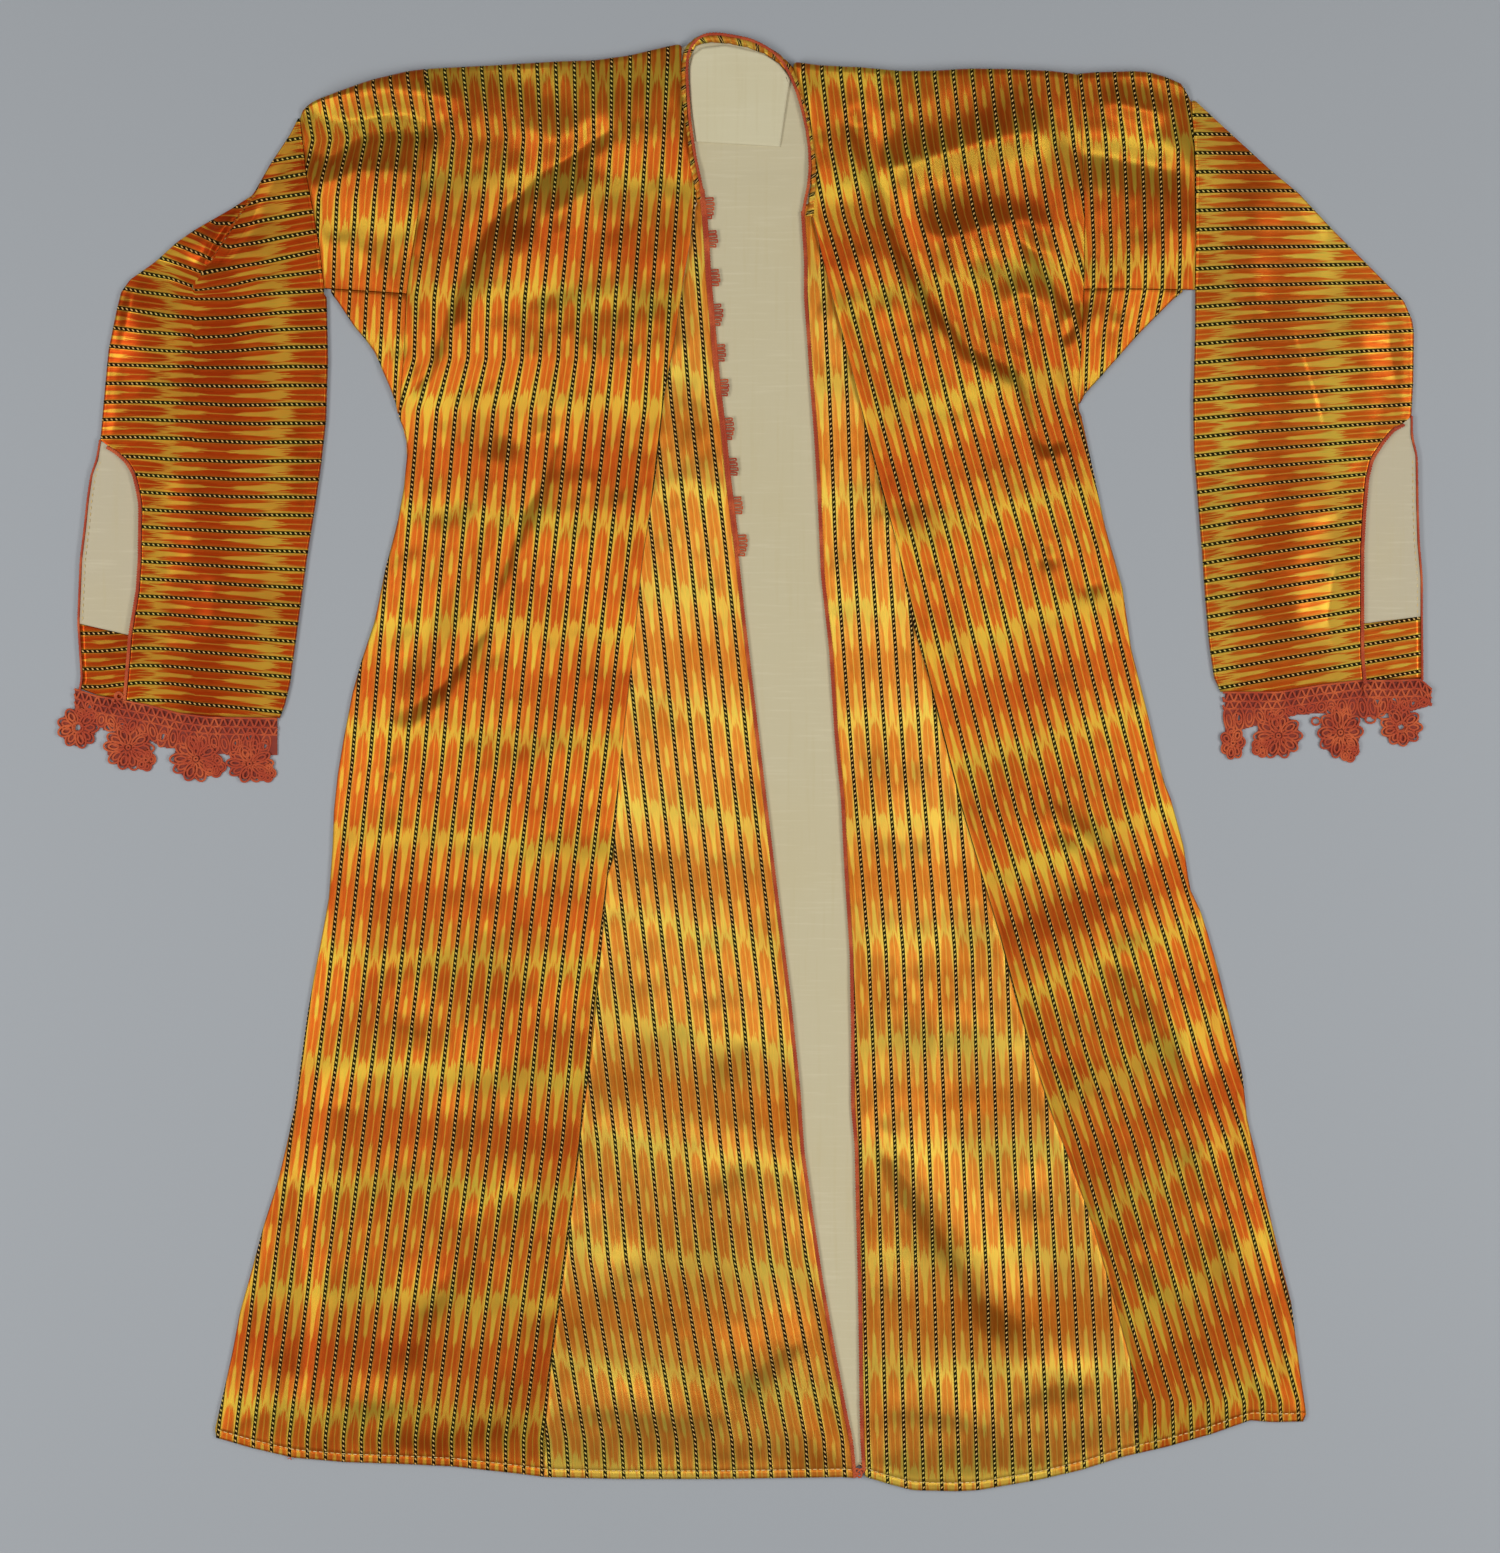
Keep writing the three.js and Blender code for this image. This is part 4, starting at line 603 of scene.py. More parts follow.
def yellow_dye(tree, p, c):
    """How yellow each point is, and the width beside the cords. c is 0 half way between two cords and 1 on
    a cord. Yellow lies where c is under the width in the middle, over 1 less the width beside the cords, or
    on an arrow that opens as p grows."""
    widths = []
    for stops in (MIDDLE, BESIDE):
        width = add(tree, "ValToRGB", p)
        row = width.node.color_ramp.elements
        row[0].position, row[1].position = stops[0][0], stops[-1][0]
        for at, _ in stops[1:-1]:
            row.new(at)
        for element, (at, half) in zip(row, stops):
            element.position = at
            element.color = (half, half, half, 1)
        widths.append(width)
    middle, beside = widths
    arrow = add(tree, "MapRange", p, 0.455, 0.57, 0.0, 0.66, **SOFT_STEP)
    opening = add(tree, "Math.ABSOLUTE", add(tree, "Math.SUBTRACT", c, arrow))
    starts = add(tree, "MapRange", p, 0.45, 0.48, **SOFT_STEP)
    inside = add(tree, "Math.MULTIPLY", starts, add(tree, "MapRange", p, 0.52, 0.58, 1, 0, **SOFT_STEP))
    is_middle = add(tree, "MapRange", add(tree, "Math.SUBTRACT", middle, c), -0.13, 0.07, **SOFT_STEP)
    over = add(tree, "Math.SUBTRACT", add(tree, "Math.ADD", c, beside), 1)
    is_beside = add(tree, "MapRange", over, -0.11, 0.08, **SOFT_STEP)
    on_line = add(tree, "MapRange", opening, 0.08, 0.28, 1, 0, **SOFT_STEP)
    is_arrow = add(tree, "Math.MULTIPLY", on_line, inside)
    return add(tree, "Math.MAXIMUM", add(tree, "Math.MAXIMUM", is_middle, is_beside), is_arrow), beside


print("turns of the yellow in a repeat:", len(MIDDLE), "in the middle,", len(BESIDE), "beside the cords")


# %% Silk
def dyed_ground(tree, p, c, blot, deep, side_stripe, rust):
    """A deeper middle stripe between two lighter ones, with old uneven dye, rusty in blots and in the blank
    stretch of the repeat."""
    share = add(tree, "MapRange", c, 0.3, 0.75, **SOFT_STEP)
    ground = add(tree, "Mix", inputs={0: share, 6: linear(deep), 7: linear(side_stripe)}, **COLOURS)
    share = add(tree, "MapRange", blot, 0.42, 0.7, 0, 0.6, **SOFT_STEP)
    ground = add(tree, "Mix", inputs={0: share, 6: ground, 7: linear(rust)}, **COLOURS)
    starts = add(tree, "MapRange", p, 0.1, 0.22, **SOFT_STEP)
    blank = add(tree, "Math.MULTIPLY", starts, add(tree, "MapRange", p, 0.3, 0.44, 1, 0, **SOFT_STEP))
    share = add(tree, "Math.MULTIPLY", blank, 0.4)
    return add(tree, "Mix", inputs={0: share, 6: ground, 7: linear(rust)}, **COLOURS)


def twisted_cord(tree, u, v, beside):
    """A two-ply cord 3 mm wide, with a dark ply and a cream one and a twist every 3.9 mm: a sine of the way
    along it and across it. Gives the cord's colour, where it lies, its ply and the distance from it."""
    from_cord = add(tree, "Math.SUBTRACT", add(tree, "Math.FRACT", add(tree, "Math.ADD", u, 0.5)), 0.5)
    off = add(tree, "Math.MULTIPLY", from_cord, CORD_PITCH)
    slant = add(tree, "Math.MULTIPLY", off, 0.2)
    twist = add(tree, "Math.ADD", add(tree, "Math.MULTIPLY", v, REPEAT / 3.9), slant)
    ply = add(tree, "Math.SINE", add(tree, "Math.MULTIPLY", twist, 2 * np.pi))
    width = add(tree, "Math.ABSOLUTE", off)
    is_cord = add(tree, "MapRange", width, 1.3, 1.65, 1, 0, **SOFT_STEP)
    on_ply = add(tree, "MapRange", ply, 0.3, 0.8, **SOFT_STEP)
    is_light = add(tree, "Math.MULTIPLY", on_ply, add(tree, "MapRange", width, 0.4, 0.95, 1, 0, **SOFT_STEP))
    in_yellow = add(tree, "MapRange", beside, 0.28, 0.42, **SOFT_STEP)
    dark = add(tree, "Mix", inputs={0: in_yellow, 6: linear("#1E0F02"), 7: linear("#1D1B04")}, **COLOURS)
    light = add(tree, "Mix", inputs={0: in_yellow, 6: linear("#E2B46A"), 7: linear("#D8C062")}, **COLOURS)
    return add(tree, "Mix", inputs={0: is_light, 6: dark, 7: light}, **COLOURS), is_cord, ply, width


def silk(name, deep, side_stripe, yellow, rust, ragged=0.035):
    """Satin of dyed silk. Its warp floats lie side by side, so the gloss spreads across them and is sharp
    along them, and tinted like metal; the matt cords stand half a millimetre proud."""
    made, tree, shader = material(name)
    parts = add(tree, "SeparateXYZ", add(tree, "UVMap", uv_map="grain")).node.outputs
    u, v = parts[0], parts[1]
    place = add(tree, "TexCoord", out="Object")
    p = dye_place(tree, u, v, place, ragged)
    from_middle = add(tree, "Math.ABSOLUTE", add(tree, "Math.SUBTRACT", add(tree, "Math.FRACT", u), 0.5))
    c = add(tree, "Math.MULTIPLY", from_middle, 2)
    dyed, beside = yellow_dye(tree, p, c)
    blot = add(tree, "TexNoise", inputs={"Vector": place, "Scale": 14, "Detail": 3})
    ground = dyed_ground(tree, p, c, blot, deep, side_stripe, rust)
    streaks = add(tree, "CombineXYZ", add(tree, "Math.MULTIPLY", u, 40), add(tree, "Math.MULTIPLY", v, 14))
    fine = add(tree, "TexNoise", inputs={"Vector": streaks, "Scale": 1, "Detail": 2})
    taken = add(tree, "Math.MULTIPLY_ADD", blot, 0.8, fine)
    takes = add(tree, "MapRange", taken, 0.6, 1.1, 0.95, 0.5, **SOFT_STEP)
    share = add(tree, "Math.MULTIPLY", dyed, takes)
    colour = add(tree, "Mix", inputs={0: share, 6: ground, 7: linear(yellow)}, **COLOURS)
    share = add(tree, "MapRange", fine, 0.3, 0.7, **SOFT_STEP)
    shade = add(tree, "Mix", inputs={0: share, 6: linear("#DCDCDC"), 7: linear("#FFFFFF")}, **COLOURS)
    colour = add(tree, "Mix", inputs={0: 1.0, 6: colour, 7: shade}, blend_type="MULTIPLY", **COLOURS)
    cord, is_cord, ply, width = twisted_cord(tree, u, v, beside)
    colour = add(tree, "Mix", inputs={0: is_cord, 6: colour, 7: cord}, **COLOURS)
    round_cord = add(tree, "MapRange", width, 0.3, 2.2, 1, 0, **SOFT_STEP)
    relief = add(tree, "Math.MULTIPLY_ADD", add(tree, "Math.MULTIPLY", ply, is_cord), 0.12, round_cord)
    relief = add(tree, "Math.MULTIPLY_ADD", fine, 0.12, relief)
    bump = add(tree, "Bump", inputs={"Height": relief, "Distance": 0.0006, "Strength": 0.8})
    links = {
        "Base Color": colour, "Normal": bump,
        "Tangent": add(tree, "Tangent", direction_type="UV_MAP", uv_map="grain"),
        "Roughness": add(tree, "Math.MULTIPLY_ADD", is_cord, 0.4, 0.4),
        "Metallic": add(tree, "Math.MULTIPLY_ADD", is_cord, -0.6, 0.6),
    }
    shader.inputs["Base Color"].default_value = linear(deep)
    for socket, value in links.items():
        tree.links.new(value, shader.inputs[socket])
    shader.inputs["Anisotropic"].default_value = 0.82
    shader.inputs["Specular IOR Level"].default_value = 0.05
    return made


MAIN_SILK = silk("satin_warp_ikat_silk", "#C25C18", "#C87824", "#D0B43C", "#A0380A")
GORE_SILK = silk("satin_warp_ikat_silk_gores", "#CC7A28", "#D6963A", "#D8C04C", "#AE560F")
SLEEVE_SILK = {
    "right": silk("satin_warp_ikat_silk_right_sleeve", "#BC420E", "#C45C16", "#DAB03A", "#942A06", 0.06),
    "left": silk("satin_warp_ikat_silk_left_sleeve", "#D05C18", "#D67E28", "#E4C84A", "#A63E0A", 0.06),
}
print("silk materials:", MAIN_SILK.name, GORE_SILK.name, [finish.name for finish in SLEEVE_SILK.values()])

# %% [markdown]
# ## Cotton lining
#
# The lining is plain hand-woven cotton, creamy and matt. A single colour would look like paper, so noise
# stretched along the warp and along the weft gives threads that are darker and lighter than the rest, and
# the two together make the weave's relief.


# %% Cotton
def cotton(name, tone):
    """Matt woven cotton, so it has no gloss: bunches of threads 4 and 2.5 mm wide are darker or lighter, with
    finer ones between. Single threads stand 0.6 mm apart and wouldn't show from the camera."""
    made, tree, shader = material(name)
    place = add(tree, "TexCoord", out="Object")
    wide = add(tree, "Mapping", inputs={"Vector": place, "Scale": (1, 0.05, 1)})
    tall = add(tree, "Mapping", inputs={"Vector": place, "Scale": (0.06, 1, 1)})
    warp = add(tree, "TexNoise", inputs={"Vector": wide, "Scale": 240, "Detail": 3})
    weft = add(tree, "TexNoise", inputs={"Vector": tall, "Scale": 400, "Detail": 3})
    cloudy = add(tree, "TexNoise", inputs={"Vector": place, "Scale": 7, "Detail": 3})
    colour = linear(tone)
    stains = ((warp, 0.5, 0.75, 0.16, "#B8A878"), (weft, 0.5, 0.8, 0.16, "#E8DFC2"),
        (cloudy, 0.45, 0.75, 0.3, "#BFB084"))
    for grey, low, high, most, stain in stains:
        share = add(tree, "MapRange", grey, low, high, 0, most, **SOFT_STEP)
        colour = add(tree, "Mix", inputs={0: share, 6: colour, 7: linear(stain)}, **COLOURS)
    weave = add(tree, "Math.ADD", warp, weft)
    bump = add(tree, "Bump", inputs={"Height": weave, "Distance": 0.0003, "Strength": 0.5})
    tree.links.new(colour, shader.inputs["Base Color"])
    tree.links.new(bump, shader.inputs["Normal"])
    shader.inputs["Roughness"].default_value = 0.9
    return made


COTTON = cotton("plain_woven_cotton", "#C3B896")
SLEEVE_COTTON = cotton("plain_woven_cotton_sleeves", "#BBB094")
PATCH_COTTON = cotton("plain_woven_cotton_patch", "#CDC4A2")
print("cotton materials:", [finish.name for finish in (COTTON, SLEEVE_COTTON, PATCH_COTTON)])

# %% [markdown]
# ## Body lengths
#
# Each half of the body is one strip from the front hem over the shoulder to the back hem. Two flat panels
# joined at the shoulder would show a seam that the real coat doesn't have. So the front is a grid between its
# two edges, its last row rolls on over a half circle, and the back lies on the floor.


# %% Edges of a piece
def lowered(z, gap, reach, foot):
    """Rolls an edge down: within reach of it z falls to foot on a quarter of a circle."""
    fall = np.sqrt(np.clip(1 - (1 - np.clip(gap / reach, 0, 1)) ** 2, 0, 1))
    return foot + (z - foot) * fall


def seam_groove(gap, deep=1.0, wide=1.3):
    """A seam pulls the cloth in: a bell curve below zero across it."""
    return -deep * np.exp(-((gap / wide) ** 2))


# The top of the back, behind the neck: its height at each x
TOP_X = [-250, -211, -120, -64, -50, -36, -16, -4, 6, 15, 23, 31, 40, 56, 250]
TOP_Y = [541, 545, 550, 558, 572, 577, 577.5, 575.5, 573, 570, 566, 560, 552, 546, 538]
HEM_ROWS = [0, 0.5, 1.2, 2.4, 4, 5.6, 6.4, 7, 7.6, 8.6, 10.5]
HEM_STITCHED = 7


def hem_relief(z, gap):
    """A turned hem: a rolled edge, and a groove where it is stitched 7 mm up."""
    return lowered(z, gap, 1.4, 1.4) - 0.55 * np.exp(-(((gap - HEM_STITCHED) / 0.8) ** 2))


def over_shoulder(side, panel, inner, outer, foot, share, rows, at_inner, at_outer, at_foot):
    """The front from its lower edge to the shoulder, then a half circle down to the back whose radius is half
    the front's height there, as one grid with its grain."""
    top_of = lambda x: on(side, "shoulder", x) - upper_top(side, x, on(side, "shoulder", x)) / 2
    foot_y = fit(foot, inner, outer, share, -560)
    top_y = fit(top_of, inner, outer, share, 550)
    y = foot_y + rows[:, None] * (top_y - foot_y)
    x = between_edges(inner, outer, share, y)
    wide = abs(outer(y) - inner(y))
    z = at_outer(at_inner(upper_top(side, x, y), share * wide, y), (1 - share) * wide, y)
    turn = np.linspace(0, np.pi, 9)[1:, None]
    radius = z[-1] / 2
    over = np.stack([np.broadcast_to(x[-1], (8, len(share))), y[-1] + radius * np.sin(turn),
        radius + radius * np.cos(turn)], -1)
    G = grain(panel, x, y)
    over_G = np.broadcast_to(G[-1], over.shape[:2] + (2,)).copy()
    over_G[..., 1] -= np.linspace(0.01, 0.08, 8)[:, None]
    front = np.stack([x, y, at_foot(z, y - foot_y)], -1)
    return np.concatenate([front, over]), np.concatenate([G, over_G]), False


def on_floor(inner, outer, top, foot, share, rows):
    """The back of a piece: a level grid on the floor, from the line top to the line foot, looking down."""
    y = top + np.linspace(0, 1, rows)[:, None] * (foot - top)
    x = between_edges(inner, outer, share, y)
    return np.stack([x, y, np.zeros_like(x)], -1), np.stack([x / CORD_PITCH, -y / REPEAT], -1), True


print("a 5 mm edge roll, every 1 mm:", np.round(lowered(5.0, np.arange(6.0), 5.0, 2.9), 2))


# %% Body lengths
def body_length(side):
    """One strip between the gore and neck seams on its inner side and the shoulder and side seams on its
    outer side, and the back of it up to the centre-back seam."""
    way = sign(side)
    neck_foot = table(side, "neck_seam")[0][0]
    seam_foot = table(side, "shoulder_seam")[0][0]

    def inner(y):  # the gore seam, and above it the neck seam, reached over 8 mm
        at_neck = on(side, "neck_seam", y) - way * 2.6 * smooth((y - neck_foot) / 8)
        return np.where(y > neck_foot, at_neck, on(side, "gore_seam", y) + way * SEAM / 2)

    def outer(y):  # the side seam, and above it the shoulder seam
        edge = np.where(y > seam_foot, on(side, "shoulder_seam", y), on(side, "side", y))
        return edge - way * SEAM / 2

    def at_outer(z, gap, y):  # a groove above the underarm, a rolled edge below it
        return np.where(y > seam_foot, z + seam_groove(gap), lowered(z, gap, 2.2, 1.1))

    def at_inner(z, gap, y):  # a rolled edge beside the neck, a groove below it
        return np.where(y > neck_foot + 4, lowered(z, gap, 5.0, 2.9), z + seam_groove(gap))

    def top_of_back(x):  # just below the neck edge or the shoulder
        return np.where(abs(x) < 58, np.interp(x, TOP_X, TOP_Y) - 4, on(side, "shoulder", x) - 5)

    share = steps(250, [0, 0.5, 1.2, 2.2, 3.6], [0, 0.5, 1.2, 2.2, 3.6], 3.2)
    rows = steps(1120, HEM_ROWS, [0, 1.5], 3.2)
    hem = lambda x: on(side, "hem", x)
    front = over_shoulder(side, f"{side}_body", inner, outer, hem, share, rows, at_inner, at_outer,
        hem_relief)
    centre = lambda y: on(side, "centre_back", y)
    top = fit(top_of_back, centre, outer, share, 550)
    foot = fit(lambda x: hem(x) + 5, centre, outer, share, -550)  # the back hem lies a little higher
    back = on_floor(centre, outer, top, foot, share, 90)
    piece = cloth(f"{side}_body_silk", [front, back], MAIN_SILK)
    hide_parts(f"{side}_body_length")
    return piece


bodies = {side: body_length(side) for side in CUT}

# %% [markdown]
# ## Front gores
#
# A gore is a long triangle that widens the skirt beside the opening. It could be part of the body's grid, but
# its cords follow the opening and meet the body length at an angle, so it is a grid of its own with its own
# grain. It ends under the edge braid, which hides its raw edge.


# %% Front gores
def front_gore(side):
    """One grid from the hem to the neck, between the opening and the gore seam, which turns into the neck
    seam above the body length's foot there."""
    way = sign(side)
    neck_foot = table(side, "neck_seam")[0][0]
    inner = lambda y: on(side, "front_edge", y) + way * (BRAID_WIDE - 1.4)

    def outer(y):  # the gore seam, and above it the neck seam
        return np.where(y > neck_foot, on(side, "neck_seam", y), on(side, "gore_seam", y)) - way * SEAM / 2

    top = {"right": 452, "left": 446}[side]
    share = steps(150, [0, 0.5, 1.2, 2.4], [0, 0.5, 1.2, 2.2], 3.6)
    rows = steps(1015, HEM_ROWS, [0, 2], 3.2)
    foot_y = fit(lambda x: on(side, "hem", x), inner, outer, share, -565)
    y = foot_y + rows[:, None] * (top - foot_y)
    x = between_edges(inner, outer, share, y)
    wide = abs(outer(y) - inner(y))
    z = lowered(upper_top(side, x, y), share * wide + 0.1, 1.6, 2.9) + seam_groove((1 - share) * wide)
    points = np.stack([x, y, hem_relief(z, y - foot_y)], -1)
    piece = cloth(f"{side}_gore_silk", [(points, grain(f"{side}_gore", x, y), False)], GORE_SILK)
    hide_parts(f"{side}_front_gore")
    return piece


gores = {side: front_gore(side) for side in CUT}

# %% [markdown]
# ## Shoulder pieces and gussets
#
# Narrow cloth doesn't reach the sleeve, so a short strip widens the body above the armpit. It also runs over
# the shoulder, and is made as the body length is. The gusset is a triangle folded at the underarm: its front
# and its back are the same grid, one on the upper layer and one on the floor.


# %% Shoulder pieces and gussets
def shoulder_piece(side):
    """The strip between the shoulder seam and the armhole, from the underarm over the shoulder and back."""
    way = sign(side)
    inner = lambda y: on(side, "shoulder_seam", y) + way * SEAM / 2
    outer = lambda y: on(side, "armhole", y) - way * SEAM / 2
    share = steps(90, [0, 0.5, 1.2, 2.2], [0, 0.5, 1.2, 2.2], 3.2)
    rows = steps(170, [0, 0.5, 1.2, 2.2], [0, 1.5], 3.2)
    underarm = lambda x: on(side, "underarm", x)
    front = over_shoulder(side, f"{side}_shoulder", inner, outer, underarm, share, rows,
        lambda z, gap, y: z + seam_groove(gap), lambda z, gap, y: z + seam_groove(gap, 2.0, 1.5),
        lambda z, gap: z + seam_groove(gap, 0.3))
    top = fit(lambda x: on(side, "shoulder", x) - 5, inner, outer, share, 550)
    foot = fit(underarm, inner, outer, share, 378)
    back = on_floor(inner, outer, top, foot, share, 24)
    piece = cloth(f"{side}_shoulder_silk", [front, back], MAIN_SILK)
    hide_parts(f"{side}_shoulder_piece")
    return piece


def gusset(side):
    """A triangle between the shoulder seam's foot and the fold at the underarm, once above and once below."""
    way = sign(side)
    low = table(side, "gusset_edge")[0][0] + 1
    seam = lambda y: on(side, "shoulder_seam", y) + way * SEAM / 2
    fold = lambda y: on(side, "gusset_edge", y)
    share = steps(60, [0, 0.6, 1.6], [0, 0.2, 0.6, 1.2, 2], 3.0)
    rows = steps(95, [0, 2], [0, 0.5, 1.2, 2.2], 3.2)[:, None]
    high = fit(lambda x: on(side, "underarm", x), seam, fold, share, 376) - SEAM
    y = low + rows * (high - low)
    x = between_edges(seam, fold, share, y)
    wide = abs(fold(y) - seam(y))
    z = lowered(upper_top(side, x, y), (1 - share) * wide, 2.0, 1.6)
    z = z + seam_groove(share * wide) + seam_groove(high - y, 0.3)
    front = np.stack([x, y, z], -1)
    back = front[::3].copy()
    back[..., 2] = 0
    G = grain(f"{side}_shoulder", x, y)
    piece = cloth(f"{side}_gusset_silk", [(front, G, False), (back, G[::3], True)], MAIN_SILK)
    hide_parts(f"{side}_underarm_gusset")
    return piece


shoulder_pieces = {side: shoulder_piece(side) for side in CUT}
gussets = {side: gusset(side) for side in CUT}

# %% [markdown]
# ## Sleeves
#
# Each sleeve is one strip with its cords round the arm, folded at the inner edge and sewn at the outer edge
# down to the vent. A straight tube bent at the elbow would stretch its stripes evenly. In the real sleeve
# they crowd and spread where the cloth is creased, so their heights are read along a few lines up the sleeve.


# %% Sleeves
# Along each line up the sleeve (x at the start of the row): the heights of the numbered cords
SLEEVE_CORDS = {
    "right": [
        (-508, [(456, -3.5), (398, -1), (382, 0), (365, 1), (348, 2), (333, 3), (318, 4), (288, 6), (260, 8),
            (245, 9), (50, 22.8)]),
        (-484, [(424, -3), (410, -2), (392, -1), (376, 0), (360, 1), (344, 2), (330, 3), (317, 4), (288, 6),
            (260, 8), (244, 9), (50, 23)]),
        (-460, [(432, -4), (416, -3), (401, -2), (387, -1), (373, 0), (356, 1), (342, 2), (328, 3), (316, 4),
            (287, 6), (259, 8), (242, 9), (48, 23.1)]),
        (-436, [(438, -5), (422, -4), (406, -3), (392, -2), (378, -1), (370, 0), (354, 1), (340, 2), (327, 3),
            (316, 4), (286, 6), (258, 8), (241, 9), (44, 23.2)]),
        (-425, [(446, -6), (432, -5), (416, -4), (401, -3), (389, -2), (377, -1), (370, 0), (354, 1),
            (339, 2), (327, 3), (315, 4), (286, 6), (257, 8), (241, 9), (42, 23.3)]),
    ],
    "right inner": [
        (-431, [(438, -4), (420, -3), (390, -2), (377, -1), (370, 0), (354, 1), (339, 2), (327, 3), (315, 4),
            (286, 6), (257, 8), (241, 9), (42, 23.3)]),
        (-412, [(427, -4), (412, -3), (394, -2), (380, -1), (370, 0), (355, 1), (340, 2), (328, 3), (315, 4),
            (285, 6), (256, 8), (240, 9), (39, 23.4)]),
        (-388, [(449, -5), (432, -4), (415, -3), (398, -2), (386, -1), (373, 0), (357, 1), (344, 2), (330, 3),
            (315, 4), (285, 6), (255, 8), (240, 9), (35, 23.5)]),
        (-340, [(501, -8), (472, -6), (455, -5), (440, -4), (424, -3), (408, -2), (392, -1), (377, 0),
            (361, 1), (347, 2), (332, 3), (316, 4), (286, 6), (256, 8), (241, 9), (28, 23.6)]),
    ],
    "left": [
        (360, [(517.2, 0), (378.8, 9), (230, 19), (129.2, 26), (70.8, 30), (56, 31)]),
        (505, [(517.2, 0), (383.6, 9), (343.6, 12), (284.4, 16), (243.6, 19), (194, 23), (152.4, 26),
            (95.6, 30), (70, 31.8)]),
    ],
}
# The outer half of the right sleeve overlaps the inner half along this line, at the bent elbow
ELBOW = [(460, -388), (439, -403), (417, -416), (392, -432), (380, -440), (60, -440)]
# x of a wide yellow band, at each height
SLEEVE_BAND = {
    "right": [(500, -366), (430, -376), (340, -370), (230, -374), (90, -384)],
    "left": [(480, 452), (370, 472), (230, 470), (90, 474)],
}


def cords_at(lines, x, y):
    """Cord number at each point: read by height on every line up the sleeve, then mixed between the lines on
    its two sides. Above and below a line's table the cords go on 15 mm apart."""
    places = np.array([place for place, _ in lines], float)
    longer = [[(h[-1][0] - 150, h[-1][1] + 10)] + h[::-1] + [(h[0][0] + 300, h[0][1] - 20)] for _, h in lines]
    read = np.stack([np.interp(y, *np.array(heights).T) for heights in longer])
    i = np.clip(np.searchsorted(places, x) - 1, 0, len(places) - 2)
    share = np.clip((x - places[i]) / (places[i + 1] - places[i]), -0.3, 1.3)
    low = np.take_along_axis(read, i[None], 0)[0]
    high = np.take_along_axis(read, i[None] + 1, 0)[0]
    return low + share * (high - low)


def sleeve_grain(side, x, y):
    """u is the cord's number, from the inner lines inside the elbow's crease; v is the distance from the
    yellow band that runs up the sleeve, in repeats."""
    u = cords_at(SLEEVE_CORDS[side], x, y)
    if side == "right":
        elbow = np.interp(y, *np.array(sorted(ELBOW)).T)
        u = np.where(x > elbow, cords_at(SLEEVE_CORDS["right inner"], x, y), u)
    bands = np.array(sorted(SLEEVE_BAND[side]))
    v = (np.interp(y, bands[:, 0], bands[:, 1]) - x) / REPEAT
    return np.stack([u, v], -1)


def sleeve(side):
    """The front between the outer edge, which follows the vent below its top, and the inner fold; and the
    back, which keeps the cloth beside the vent."""
    way = sign(side)
    vent_top = table(side, "vent_edge")[0][-1]
    armpit = table(side, "sleeve_inner")[0][-1]
    crown = table(side, "sleeve_outer")[0][-1] - 3
    outer = lambda y: np.where(y > vent_top, on(side, "sleeve_outer", y), on(side, "vent_edge", y))
    back_outer = lambda y: np.where(y > vent_top, on(side, "sleeve_outer", y), on(side, "sleeve_back", y))
    at_armhole = lambda y: on(side, "armhole", y) + way * SEAM / 2
    inner = lambda y: np.where(y > armpit, at_armhole(y), on(side, "sleeve_inner", y))
    share = steps(170, [0, 0.5, 1.2, 2.2, 3.6], [0, 0.15, 0.5, 1.1, 2, 3.4], 2.0)
    level = steps(470, [0, 0.5, 1.2, 2.4], [0], 2.6)[:, None]
    cuff = fit(lambda x: on(side, "cuff", x), outer, inner, share, 50)
    y = cuff + level * (crown - cuff)
    x = between_edges(outer, inner, share, y)
    wide = abs(inner(y) - outer(y))
    z = upper_top(side, x, y)
    z = np.where(y > vent_top, lowered(z, share * wide, 2.2, 1.1), lowered(z, share * wide + 0.1, 1.6, 2.9))
    to_fold = (1 - share) * wide
    z = np.where(y > armpit, z + seam_groove(to_fold, 1.4, 1.4), lowered(z, to_fold, 2.4, 1.6))
    z = lowered(z, y - cuff, 1.4, 1.6)
    back_share = np.linspace(0, 1, 12)
    back_cuff = fit(lambda x: on(side, "cuff", x), back_outer, inner, back_share, 50)
    back_y = back_cuff + np.linspace(0, 1, 90)[:, None] * (crown - back_cuff)
    back_x = between_edges(back_outer, inner, back_share, back_y)
    front = (np.stack([x, y, z], -1), sleeve_grain(side, x, y), False)
    back = (np.stack([back_x, back_y, np.zeros_like(back_x)], -1), sleeve_grain(side, back_x, back_y), True)
    piece = cloth(f"{side}_sleeve_silk", [front, back], SLEEVE_SILK[side])
    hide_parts(f"{side}_sleeve")
    return piece


sleeves = {side: sleeve(side) for side in CUT}

# %% [markdown]
# ## Linings, facing and yoke patch
#
# The lining shows in the neck, in the opening and in the sleeve vents, with a paler patch below the neck and
# a band of ikat inside each cuff. The lining could follow the whole inside of the coat, but only these parts
# are ever seen, so each is one level piece that runs on a little way under the silk.


